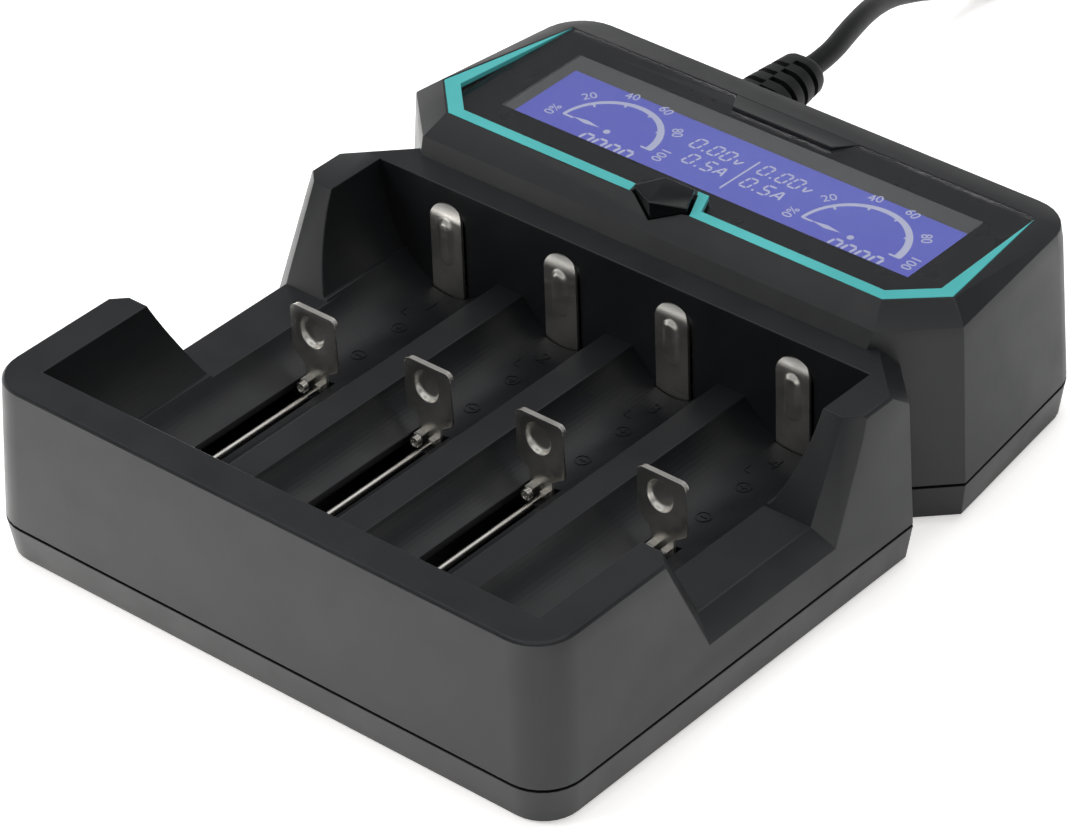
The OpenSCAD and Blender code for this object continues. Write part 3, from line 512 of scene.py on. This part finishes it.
def makePlug():
    p = plug
    x, y, z = p["at"]
    halfW, halfH = p["width"] / 2, p["height"] / 2
    bm = bmesh.new()
    block(bm, (x - halfW, y - p["length"], z - halfH), (x + halfW, y - p["neck"], z + halfH))
    bm.normal_update()
    rear = [f for f in bm.faces if f.normal.y > 0.9]
    for reach, scaleX, scaleZ in p["neckSteps"]:
        parts = bmesh.ops.extrude_face_region(bm, geom=rear)["geom"]
        bmesh.ops.delete(bm, geom=rear, context="FACES_ONLY")
        rear = only(bmesh.types.BMFace, parts)
        verts = list({v for f in rear for v in f.verts})
        bmesh.ops.translate(bm, vec=(0, reach, 0), verts=verts)
        bmesh.ops.scale(bm, vec=(scaleX, 1, scaleZ), verts=verts, space=Matrix.Translation((-x, 0, -z)))
    rounded(bm, corners(bm, 0.3), p["edge"], 3)
    tall = halfH * p["gripTall"]
    for i in range(p["grips"]):
        start = y - p["neck"] - p["gripStart"] - i * p["gripPitch"]
        for side in (-1, 1):
            middle = x + side * (halfW - p["gripOut"])
            block(bm, (middle - p["gripOut"], start - p["gripLong"], z - tall),
                  (middle + p["gripOut"], start, z + tall))
    piece = keep(bm, "plugBody", "moulding", inCase=False)
    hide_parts("plug_body")
    return piece


# The case: one moulding above the seam and one below it

shells = {"bayReach": 0.0547, "edge": 0.00016, "footEdge": 0.00015}


def makeShells():
    floors = [f"bay_floor_{i}" for i in range(1, 5)]
    walls = ["tray_walls_front", "tray_walls_mid", "tray_walls_rear"]
    floorLow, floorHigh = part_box(floors[0])
    midLow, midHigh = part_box("tray_walls_mid")
    seams = [(1, floorLow.y), (1, floorHigh.y), (1, midLow.y), (1, midHigh.y)]
    seams += [(0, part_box(f)[0].x) for f in floors] + [(0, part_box(floors[-1])[1].x)]
    upper = softened(["tray_front", *walls, *floors, "head_shell"], "upperShell", "shell", shells["edge"],
                     seams=seams)
    for face in upper.data.polygons:
        inBay = abs(face.center.x) < shells["bayReach"] and floorLow.y < face.center.y < floorHigh.y
        if inBay and abs(face.normal.y) < 0.01:
            face.use_smooth = False
    softened(["base_shell"], "baseShell", "base", shells["edge"])
    softened(["rubber_feet"], "feet", "rubber", shells["footEdge"])
    print("shells made")


# The display head: lens, printed border, lit panel with its dials and digits, trim and button

display = {
    "inkThick": 0.03,
    "panelTop": 36.0,
    "opening": (-45.4, 115.6, 45.4, 137.1),
    "field": (-44.7, 111.9, 45, 135.2),
    "fieldSunk": 0.2,
    "fieldThick": 0.04,
    "markThick": 0.04,
    "marksShift": (0.8, -0.9, 0),
    "divider": ((0.1, 132.4), (-0.25, 121.3)),
    "dividerThick": 0.35,
    "edge": 0.00012,
    "buttonEdge": 0.00018,
}
dials = {
    "centres": ((-27.7, 123.5), (27.4, 122.9)),
    "radii": (10.3, 10.8),
    "steps": 48,
    "thin": 0.65,  # at the first mark
    "swell": 0.8,  # how much thicker at the last
    "ticks": (2.6, 1.7, 1.7, 1.7, 1.7, 2.6),
    "tickTurn": 36,
    "tickThick": 0.45,
    "tickInset": 0.1,
    "labelRadius": 12.5,
    "labels": ("0%", "20", "40", "60", "80", "100"),
    "labelSize": 2.9,
    "needles": ((-4.6, 0.3), (-5.1, 0.1)),  # where each tail ends, and each needle's height over the centre
    "tailShare": 0.45,
    "tipGap": 2.4,
    "needleHalf": 0.55,
    "dot": 0.65,
}
digitRows = [
    {"text": "0000", "left": -30.9, "right": -18.9, "middle": 118.9, "height": 4.4},
    {"text": "0000", "left": 24.9, "right": 36.6, "middle": 118.9, "height": 4.4},
    {"text": "0.00v", "left": -13.4, "right": -1.4, "middle": 130.4, "height": 3.1},
    {"text": "0.5A", "left": -11.3, "right": -1.6, "middle": 125.7, "height": 3.1},
    {"text": "0.00v", "left": 1.6, "right": 13.7, "middle": 130.7, "height": 3.1},
    {"text": "0.5A", "left": 1.6, "right": 11.2, "middle": 125.8, "height": 3.1},
]
digits = {  # shares of a digit's height, width or stroke
    "cells": {".": 0.42, "v": 0.85},
    "wide": 0.64,
    "thick": 0.13,
    "lean": 0.16,
    "stopAt": (0.3, 0.05),
    "stopRadius": 0.65,
    "gap": (0.06, 0.08),
}
strokes = {  # each stroke's two ends, as shares of a digit's width and height
    "0": (((0, 0), (0, 0.5)), ((0, 0.5), (0, 1)), ((0, 1), (1, 1)), ((1, 1), (1, 0.5)), ((1, 0.5), (1, 0)),
          ((1, 0), (0, 0))),
    "5": (((1, 1), (0, 1)), ((0, 1), (0, 0.5)), ((0, 0.5), (1, 0.5)), ((1, 0.5), (1, 0)), ((1, 0), (0, 0))),
    "A": (((-0.1, 0), (0.4, 1)), ((0.45, 1), (1.05, 0)), ((0.15, 0.35), (0.8, 0.35))),
    "v": (((0, 0.6), (0.4, 0)), ((0.45, 0), (1, 0.6))),
}


def bar(bm, start, end, thick, low, high):
    # A flat bar with pointed ends between two points
    a, b = Vector(start), Vector(end)
    along = (b - a).normalized() * thick / 2
    across = Vector((-along.y, along.x))
    outline = [a, a + along + across, b - along + across, b, b - along - across, a + along - across]
    prism(bm, [tuple(p) for p in outline], low, high)


def digitRow(bm, row, low, high):
    cells = [digits["cells"].get(c, 1.0) for c in row["text"]]
    unit = (row["right"] - row["left"]) / sum(cells)
    tall = row["height"]
    thick = tall * digits["thick"]
    gapX, gapY = digits["gap"]
    x = row["left"]
    for character, cell in zip(row["text"], cells):
        wide = unit * cell * digits["wide"]
        bottom = row["middle"] - tall / 2

        def at(share, rise):
            return (x + share * wide + digits["lean"] * rise * tall, bottom + rise * tall)

        if character == ".":
            stop = arcPoints(*at(*digits["stopAt"]), thick * digits["stopRadius"], 0, 330, 11)
            prism(bm, stop, low, high)
        for (u0, v0), (u1, v1) in strokes.get(character, ()):
            du, dv = (u1 - u0) * gapX, (v1 - v0) * gapY
            bar(bm, at(u0 + du, v0 + dv), at(u1 - du, v1 - dv), thick, low, high)
        x += unit * cell


def lettering(bm, text, size, x, y, turn, low, high):
    # Plain numerals laid flat, their middle at x, y
    font = bpy.data.curves.new("numerals", "FONT")
    font.body = text
    font.size = size
    font.align_x = "CENTER"
    font.align_y = "CENTER"
    font.extrude = (high - low) / 2
    font.resolution_u = 3
    shape = bpy.data.objects.new("numerals", font)
    mesh = bpy.data.meshes.new_from_object(shape)
    mesh.transform(Matrix.Translation((x, y, (low + high) / 2)) @ Matrix.Rotation(math.radians(turn), 4, "Z"))
    bm.from_mesh(mesh)
    bpy.data.objects.remove(shape)
    bpy.data.curves.remove(font)
    bpy.data.meshes.remove(mesh)


def dialArc(bm, x, y, radius, low, high):
    # A half ring that grows thicker toward its last mark, with ticks inward
    d = dials
    outer, inner = [], []
    for i in range(d["steps"] + 1):
        share = i / d["steps"]
        angle = math.pi * (1 - share)
        across, up = math.cos(angle), math.sin(angle)
        within = radius - (d["thin"] + d["swell"] * share)
        outer.append((x + radius * across, y + radius * up))
        inner.append((x + within * across, y + within * up))
    prism(bm, outer + inner[::-1], low, high)
    centre = Vector((x, y))
    for i, reach in enumerate(d["ticks"]):
        angle = math.radians(180 - d["tickTurn"] * i)
        away = Vector((math.cos(angle), math.sin(angle)))
        bar(bm, centre + away * (radius - reach), centre + away * (radius - d["tickInset"]), d["tickThick"],
            low, high)


def dialMarks(bm, x, y, radius, needle, low, high):
    # The numbers round an arc, its needle and its centre dot
    d = dials
    reach = radius + d["labelRadius"] - d["radii"][0]
    for i, label in enumerate(d["labels"]):
        turn = 180 - d["tickTurn"] * i
        away = math.radians(turn)
        lettering(bm, label, d["labelSize"], x + reach * math.cos(away), y + reach * math.sin(away),
                  turn - 90, low, high)
    level = y + needle[1]
    tip, tail = x - radius + d["tipGap"], x + needle[0] * d["tailShare"]
    middle = (tip + tail) / 2
    half = d["needleHalf"]
    prism(bm, [(tip, level), (middle, level - half), (tail, level), (middle, level + half)], low, high)
    prism(bm, arcPoints(x, y, d["dot"], 0, 345, 23), low, high)


def makeLitLayers():
    # The blue field, with its light marks just above it
    fieldTop = display["panelTop"] + display["fieldThick"]
    markLow, markHigh = fieldTop, fieldTop + display["markThick"]
    x0, y0, x1, y1 = display["field"]
    bm = bmesh.new()
    block(bm, (x0, y0, display["panelTop"] - display["fieldSunk"]), (x1, y1, fieldTop))
    keep(bm, "litField", "blue")

    bm = bmesh.new()
    for (x, y), radius, needle in zip(dials["centres"], dials["radii"], dials["needles"]):
        dialArc(bm, x, y, radius, markLow, markHigh)
        dialMarks(bm, x, y, radius, needle, markLow, markHigh)
    for row in digitRows:
        digitRow(bm, row, markLow, markHigh)
    bar(bm, *display["divider"], display["dividerThick"], markLow, markHigh)
    bmesh.ops.translate(bm, vec=display["marksShift"], verts=bm.verts)
    keep(bm, "displayMarks", "marks")


def makeWindowBorder():
    # The printed border is the lens's own underside with the window cut out of it
    bm = bmesh.new()
    bm.from_mesh(nodes["display_lens"].data)
    bmesh.ops.remove_doubles(bm, verts=bm.verts, dist=joining["merge"])
    bmesh.ops.dissolve_limit(bm, angle_limit=0.01, verts=bm.verts, edges=bm.edges)
    bmesh.ops.delete(bm, geom=[f for f in bm.faces if f.normal.z > -0.9], context="FACES")
    x0, y0, x1, y1 = display["opening"]
    for x, y, normal in ((x0, 0, (1, 0, 0)), (x1, 0, (1, 0, 0)), (0, y0, (0, 1, 0)), (0, y1, (0, 1, 0))):
        bmesh.ops.bisect_plane(bm, geom=bm.verts[:] + bm.edges[:] + bm.faces[:],
                               plane_co=(x * mm, (y - halfDepth) * mm, 0), plane_no=normal)
    hole = []
    for f in bm.faces:
        middle = f.calc_center_median() / mm - caseShift
        if x0 < middle.x < x1 and y0 < middle.y < y1:
            hole.append(f)
    bmesh.ops.delete(bm, geom=hole, context="FACES")
    raised = bmesh.ops.extrude_face_region(bm, geom=bm.faces[:])["geom"]
    bmesh.ops.translate(bm, vec=(0, 0, display["inkThick"] * mm), verts=only(bmesh.types.BMVert, raised))
    bmesh.ops.recalc_face_normals(bm, faces=bm.faces)
    settle(meshFrom(bm, "windowBorder"), "windowBorder", "ink")


def makeDisplay():
    makeLitLayers()
    makeWindowBorder()
    softened(["display_lens"], "windowLens", "glass", display["edge"])
    softened(["teal_trim"], "tealStrip", "teal", display["edge"])
    softened(["mode_button"], "gemButton", "gem", display["buttonEdge"], body="button")
    print("display made")


# Contacts

slider = {
    "rest": 57.8,
    "sheet": 0.6,
    "half": 5.25,
    "top": 27.6,
    "corner": 1.3,
    "rightNeck": [(2.4, 6.2), (2.4, 15.3), (4.9, 16.9)],
    "shoulders": (17.5, 18.6),
    "neckTop": 15,
    "leftNeck": [(-5.0, 17.9), (-3.0, 16.4), (-2.6, 15.4), (-2.6, 6.2)],
    "cupAt": (-0.4, 23.2),
    "cupSize": (5.8, 6.6),
    # Each step's scale and depth, and each lip step's way back, way down and scale
    "cupSteps": ((0.97, 0.06), (0.955, 0.22), (0.95, 0.45), (0.93, 0.3), (0.86, 0.14), (0.6, 0.06)),
    "lipSteps": ((0.18, 0.01, 0.994), (0.32, 0.032, 0.9808), (0.6, 0.02, 0.988)),
    "tabs": (((-2.3, -1.5, 13.2), (-0.6, 0.1, 13.6)), ((-2.3, -1.7, 12.6), (-0.6, -1.3, 13.6)),
             ((0.5, -1.1, 12.9), (1.9, 0.1, 13.3))),
    "loopAt": (-1.4, -1.7, 12.5),
    "loops": 3,
    "loopPitch": 0.42,
    "loopRadius": 0.85,
    "wireRadius": 0.2,
    "edge": 0.00009,
    "footEdge": 0.0002,
}


def wireLoop(bm, centre, radius, wireRadius):
    # One turn of wire, its axis along the case
    start = Matrix.Translation(Vector(centre) + Vector((radius, 0, 0)))
    ring = bmesh.ops.create_circle(bm, segments=8, radius=wireRadius, matrix=start)["verts"]
    bmesh.ops.spin(bm, geom=ring + edgesAmong(bm, ring), cent=centre, axis=(0, 1, 0), angle=math.tau,
                   steps=20, use_merge=True)


def grown(bm, edges, move, scale, space=Matrix.Identity(4)):
    # A strip of new faces along the edges, whose far side is moved and scaled
    parts = bmesh.ops.extrude_edge_only(bm, edges=edges)["geom"]
    verts = only(bmesh.types.BMVert, parts)
    bmesh.ops.translate(bm, vec=move, verts=verts)
    bmesh.ops.scale(bm, vec=scale, verts=verts, space=space)
    return only(bmesh.types.BMEdge, parts)


def makeSlider(index, x):
    # Sheet plate with a pressed cup, a lip bent back along its top and a tang down through the floor
    s = slider
    half, top, c = s["half"], s["top"], s["corner"]
    outline = s["rightNeck"] + [(half, s["shoulders"][0])]
    outline += arcPoints(half - c, top - c, c, 0, 90, 5) + arcPoints(-half + c, top - c, c, 90, 180, 5)
    outline += [(-half, s["shoulders"][1])] + s["leftNeck"]
    bm = bmesh.new()
    ring = [bm.verts.new((px, 0, pz)) for px, pz in outline]
    rim = [bm.edges.new((a, b)) for a, b in zip(ring, ring[1:] + ring[:1])]
    cupX, cupZ = s["cupAt"]
    wide, tall = s["cupSize"]
    cup = bmesh.ops.create_circle(bm, segments=32, radius=0.5, matrix=Matrix.Translation((cupX, 0, cupZ))
                                  @ Matrix.Diagonal((wide, 1, tall, 1))
                                  @ Matrix.Rotation(math.pi / 2, 4, "X"))["verts"]
    level = edgesAmong(bm, cup)
    bmesh.ops.triangle_fill(bm, use_beauty=True, use_dissolve=False, edges=rim + level)
    for scale, deeper in s["cupSteps"]:
        level = grown(bm, level, (0, deeper, 0), (scale, 1, scale), Matrix.Translation((-cupX, 0, -cupZ)))
    bmesh.ops.edgeloop_fill(bm, edges=level)
    lip = [e for e in rim if e.is_valid and all(v.co.z > top - c - 0.01 for v in e.verts)]
    for back, down, scale in s["lipSteps"]:
        lip = grown(bm, lip, (0, back, -down), (scale, 1, 1))
    bmesh.ops.recalc_face_normals(bm, faces=bm.faces)
    neck = [f for f in bm.faces if abs(f.normal.y) > 0.99 and f.calc_center_median().z < s["neckTop"]]
    if neck[0].normal.y > 0:
        bmesh.ops.reverse_faces(bm, faces=bm.faces)
    bmesh.ops.solidify(bm, geom=bm.faces[:], thickness=s["sheet"])
    # Small tabs folded forward at the neck, with the end of the spring's wire hooked over them
    for low, high in s["tabs"]:
        block(bm, low, high)
    loopX, loopY, loopZ = s["loopAt"]
    for i in range(s["loops"]):
        wireLoop(bm, (loopX, loopY - i * s["loopPitch"], loopZ), s["loopRadius"], s["wireRadius"])
    bmesh.ops.translate(bm, vec=(x, s["rest"] - s["sheet"] / 2, 0), verts=bm.verts)
    piece = keep(bm, f"slidePlate.{index}", "contact", body=f"slider_{index}", crisp=40)
    edges = piece.modifiers.new("edges", "BEVEL")
    edges.width = s["edge"]
    edges.segments = 2
    edges.limit_method = "ANGLE"
    edges.angle_limit = math.radians(50)
    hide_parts(f"slide_contact_{index}")


rearStrip = {
    "half": 3.6,
    "front": 92.3,
    "sheet": 0.6,
    "bottom": 8.1,
    "top": 31.5,
    "bendRadius": 4.2,
    "bendTurn": 50,
    "bossHalf": 1.55,
    "bossLow": 19.4,
    "bossHigh": 28.6,
    "bossRise": 0.7,
    "bossReach": 1.15,
    "bossPower": 2.6,
    "tipHalf": 0.3,
    "footLong": 11,
    "facets": (28, 110),
}


def makeRearContact(index, x):
    # Spring strip with a pressed ridge and a round head bent back
    s = rearStrip
    bm = bmesh.new()
    across, up = s["facets"]
    grid = bmesh.ops.create_grid(bm, x_segments=across, y_segments=up, size=0.5)["verts"]
    half, bend, most = s["half"], s["bendRadius"], math.radians(s["bendTurn"])
    straight = s["top"] - bend * math.sin(most) - s["bottom"]
    length = straight + bend * most
    for v in grid:
        along = (v.co.y + 0.5) * length
        turn = max(0.0, along - straight) / bend
        z = s["bottom"] + min(along, straight) + bend * math.sin(turn)
        over = max(0.0, along - (length - half))
        x0 = v.co.x * 2 * max(math.sqrt(max(half * half - over * over, 0)), s["tipHalf"])
        y0 = bend * (1 - math.cos(turn))
        end = min(z - s["bossLow"], s["bossHigh"] - z) - s["bossHalf"]
        away = math.hypot(x0, min(end, 0)) / (s["bossHalf"] * s["bossReach"])
        if away < 1:
            y0 -= s["bossRise"] * eased(1 - away ** s["bossPower"])
        v.co = (x0, y0, z)
    bmesh.ops.recalc_face_normals(bm, faces=bm.faces)
    if sum(f.normal.y for f in bm.faces) > 0:
        bmesh.ops.reverse_faces(bm, faces=bm.faces)
    bmesh.ops.solidify(bm, geom=bm.faces[:], thickness=s["sheet"])
    block(bm, (-half, 0, s["bottom"]), (half, s["footLong"], s["bottom"] + s["sheet"]))
    bmesh.ops.translate(bm, vec=(x, s["front"], 0), verts=bm.verts)
    piece = keep(bm, f"rearStrip.{index}", "contact", crisp=40)
    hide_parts(f"rear_contact_{index}")


def makeContacts():
    for index, x in enumerate(bays, 1):
        makeSlider(index, x)
        makeRearContact(index, x)
        softened([f"slider_foot_{index}"], f"sliderFoot.{index}", "moulding", slider["footEdge"],
                 body=f"slider_{index}")
    print("contacts made")


# Raised marks on the bay floors: polarity signs, a tick and the bay's number

floorMarks = {
    "bottom": 12.8,
    "radii": (12.6, 10.2, 10.2, 12.6),
    "rise": 0.16,
    "sunk": 0.1,
    "signs": (("-", 68.3), ("+", 79.0)),
    "signHalf": 0.75,
    "stroke": 0.3,
    "ring": 1.45,
    "ringWide": 0.26,
    "ringSteps": 32,
    "tick": (((-2.9, 82.6), (-2.9, 84.4)), ((-2.9, 82.7), (-1.6, 82.7))),
    "numberAt": 87.4,
    "numberSize": 4.2,
}


def layInTrough(verts, x, radius):
    for v in verts:
        away = v.co.x - x
        v.co.z += floorMarks["bottom"] + radius - math.sqrt(radius * radius - away * away)


def makeFloorMarks():
    m = floorMarks
    low, high, arm, steps = -m["sunk"], m["rise"], m["signHalf"], m["ringSteps"]
    bm = bmesh.new()
    for index, (x, radius) in enumerate(zip(bays, m["radii"]), 1):
        start = len(bm.verts)
        for sign, y in m["signs"]:
            outer = arcPoints(x, y, m["ring"], 0, 360, steps)
            inner = arcPoints(x, y, m["ring"] - m["ringWide"], 0, 360, steps)
            for i in range(steps):
                prism(bm, [outer[i], outer[i + 1], inner[i + 1], inner[i]], low, high)
            bar(bm, (x - arm, y), (x + arm, y), m["stroke"], low, high)
            if sign == "+":
                bar(bm, (x, y - arm), (x, y + arm), m["stroke"], low, high)
        for (x0, y0), (x1, y1) in m["tick"]:
            bar(bm, (x + x0, y0), (x + x1, y1), m["stroke"], low, high)
        lettering(bm, str(index), m["numberSize"], x, m["numberAt"], 0, low, high)
        bm.verts.ensure_lookup_table()
        layInTrough(bm.verts[start:], x, radius)
    keep(bm, "floorMarks", "shell")
    print("floor marks made")


def dressInside():
    # Finishes for the CAD nodes that show as they are
    plain = {
        "lcd_panel": "panelEdge", "lcd_holder": "white", "display_board": "board", "display_screws": "steel",
        "switch_plunger": "ivory", "button_switch": "component", "main_board": "board", "transformer": "tape",
        "capacitors": "component", "chokes": "winding", "heat_sink": "sink", "board_link": "ivory",
        "power_inlet": "component", "inlet_pins": "pin", "board_screws": "steel", "case_screws": "steel",
        "guide_rods": "contact", "plug_pins": "pin", **{f"return_spring_{i}": "steel" for i in range(1, 5)},
    }
    for node, finish in plain.items():
        mesh = nodes[node].data
        mesh.materials.clear()
        mesh.materials.append(materials[finish])
    print("inner pieces finished:", len(plain))


# The stage: a pale floor, a pale world and soft lamps

stage = {
    "ambient": 0.55,
    "floorSize": 6,
    "floorTint": (1, 0.985, 0.965, 1),
    "floorLift": 0.5,
    # The next three set a painted reflection: floor glow seen only by glossy rays, stronger in front of the
    # case than at its right
    "frontReflectionGlow": 0.9,
    "rightReflectionGlow": 0.15,
    "reflectionGlowReach": 0.12,
    "studioStrength": 1.25,
    "studio": [(0.0, (0.76, 0.75, 0.74, 1)), (0.2, (0.64, 0.64, 0.64, 1)), (0.42, (0.18, 0.183, 0.19, 1)),
               (0.68, (0.12, 0.123, 0.13, 1)), (0.8, (0.95, 0.95, 0.95, 1)), (0.9, (0.95, 0.95, 0.95, 1)),
               (0.96, (0.2, 0.2, 0.205, 1))],
    "aim": (0, 0, 0.02),
    "lamps": (
        {"name": "overhead", "at": (-0.1, 0.2, 1.2), "size": (0.9, 0.7), "power": 7.5},
        {"name": "rightPanel", "at": (1.1, 0.2, 0.5), "size": (0.5, 0.7), "power": 1.2},
        {"name": "frontPanel", "at": (-0.9, -1.0, 1.0), "size": (0.7, 0.5), "power": 10.0},
    ),
}


def joined(tree, operation, first, second):
    # Two values, each a socket or a number, taken through one sum
    node = tree.nodes.new("ShaderNodeMath")
    node.operation = operation
    for socket, value in zip(node.inputs, (first, second)):
        if isinstance(value, float):
            socket.default_value = value
        else:
            tree.links.new(value, socket)
    return node.outputs[0]


def floorGlow(tree, coords):
    # Even for the camera and through glass; for gloss only, a painted reflection: the floor glows more in
    # front than at the right, so the case's front faces mirror more light than its right side
    place = tree.nodes.new("ShaderNodeSeparateXYZ")
    tree.links.new(coords, place.inputs[0])
    reach = stage["reflectionGlowReach"]
    paintedReflection = spread(tree, joined(tree, "ADD", place.outputs["X"], place.outputs["Y"]),
                      stage["frontReflectionGlow"], stage["rightReflectionGlow"], -reach, reach)
    path = tree.nodes.new("ShaderNodeLightPath").outputs
    seen = joined(tree, "MAXIMUM", path["Is Camera Ray"], path["Is Transmission Ray"])
    return joined(tree, "ADD", joined(tree, "MULTIPLY", seen, stage["floorLift"]),
                  joined(tree, "MULTIPLY", path["Is Glossy Ray"], paintedReflection))


def mixedShader(tree, factor, first, second):
    node = tree.nodes.new("ShaderNodeMixShader")
    tree.links.new(factor, node.inputs[0])
    tree.links.new(first.outputs[0], node.inputs[1])
    tree.links.new(second.outputs[0], node.inputs[2])
    return node


def makeFloor():
    # Wide enough to reach past every view
    bm = bmesh.new()
    bmesh.ops.create_grid(bm, x_segments=1, y_segments=1, size=stage["floorSize"])
    mesh = meshFrom(bm, "floor")
    floor = bpy.data.objects.new("floor", mesh)
    scene.collection.objects.link(floor)
    material, tree, shader, coords = newMaterial("paleFloor")
    toned(tree, coords, shader.inputs["Base Color"], 0.3, 2, "f4f4f4", "f8f8f8")
    shader.inputs["Roughness"].default_value = 0.9
    shader.inputs["Specular IOR Level"].default_value = 0.1
    tree.links.new(floorGlow(tree, coords), shader.inputs["Emission Strength"])
    shader.inputs["Emission Color"].default_value = stage["floorTint"]
    mesh.materials.append(material)


def makeWorld():
    # White for the camera, an even light on the part, and a studio for gloss and metal to mirror
    world = bpy.data.worlds.new("paleWorld")
    scene.world = world
    world.use_nodes = True
    tree = world.node_tree
    tree.nodes.clear()
    height = tree.nodes.new("ShaderNodeSeparateXYZ")
    tree.links.new(tree.nodes.new("ShaderNodeTexCoord").outputs["Generated"], height.inputs[0])
    studio, soft, white = (tree.nodes.new("ShaderNodeBackground") for i in range(3))
    tree.links.new(ramp(tree, height.outputs["Z"], stage["studio"]), studio.inputs["Color"])
    studio.inputs["Strength"].default_value = stage["studioStrength"]
    soft.inputs["Strength"].default_value = stage["ambient"]
    path = tree.nodes.new("ShaderNodeLightPath").outputs
    lit = mixedShader(tree, path["Is Glossy Ray"], soft, studio)
    through = mixedShader(tree, path["Is Transmission Ray"], lit, white)
    shown = mixedShader(tree, path["Is Camera Ray"], through, white)
    tree.links.new(shown.outputs[0], tree.nodes.new("ShaderNodeOutputWorld").inputs[0])


def makeLamps():
    for lamp in stage["lamps"]:
        data = bpy.data.lights.new(lamp["name"], "AREA")
        data.shape = "RECTANGLE"
        data.size, data.size_y = lamp["size"]
        data.energy = lamp["power"]
        light = bpy.data.objects.new(lamp["name"], data)
        scene.collection.objects.link(light)
        light.location = lamp["at"]
        light.visible_glossy = False
        toward = Vector(stage["aim"]) - Vector(lamp["at"])
        light.rotation_euler = toward.to_track_quat("-Z", "Y").to_euler()


def makeStage():
    makeFloor()
    makeWorld()
    makeLamps()
    scene.view_settings.view_transform = "Standard"
    print("stage set")


makeCamera()
makeLead()
makeShells()
makeDisplay()
makeContacts()
makeFloorMarks()
dressInside()
makeStage()
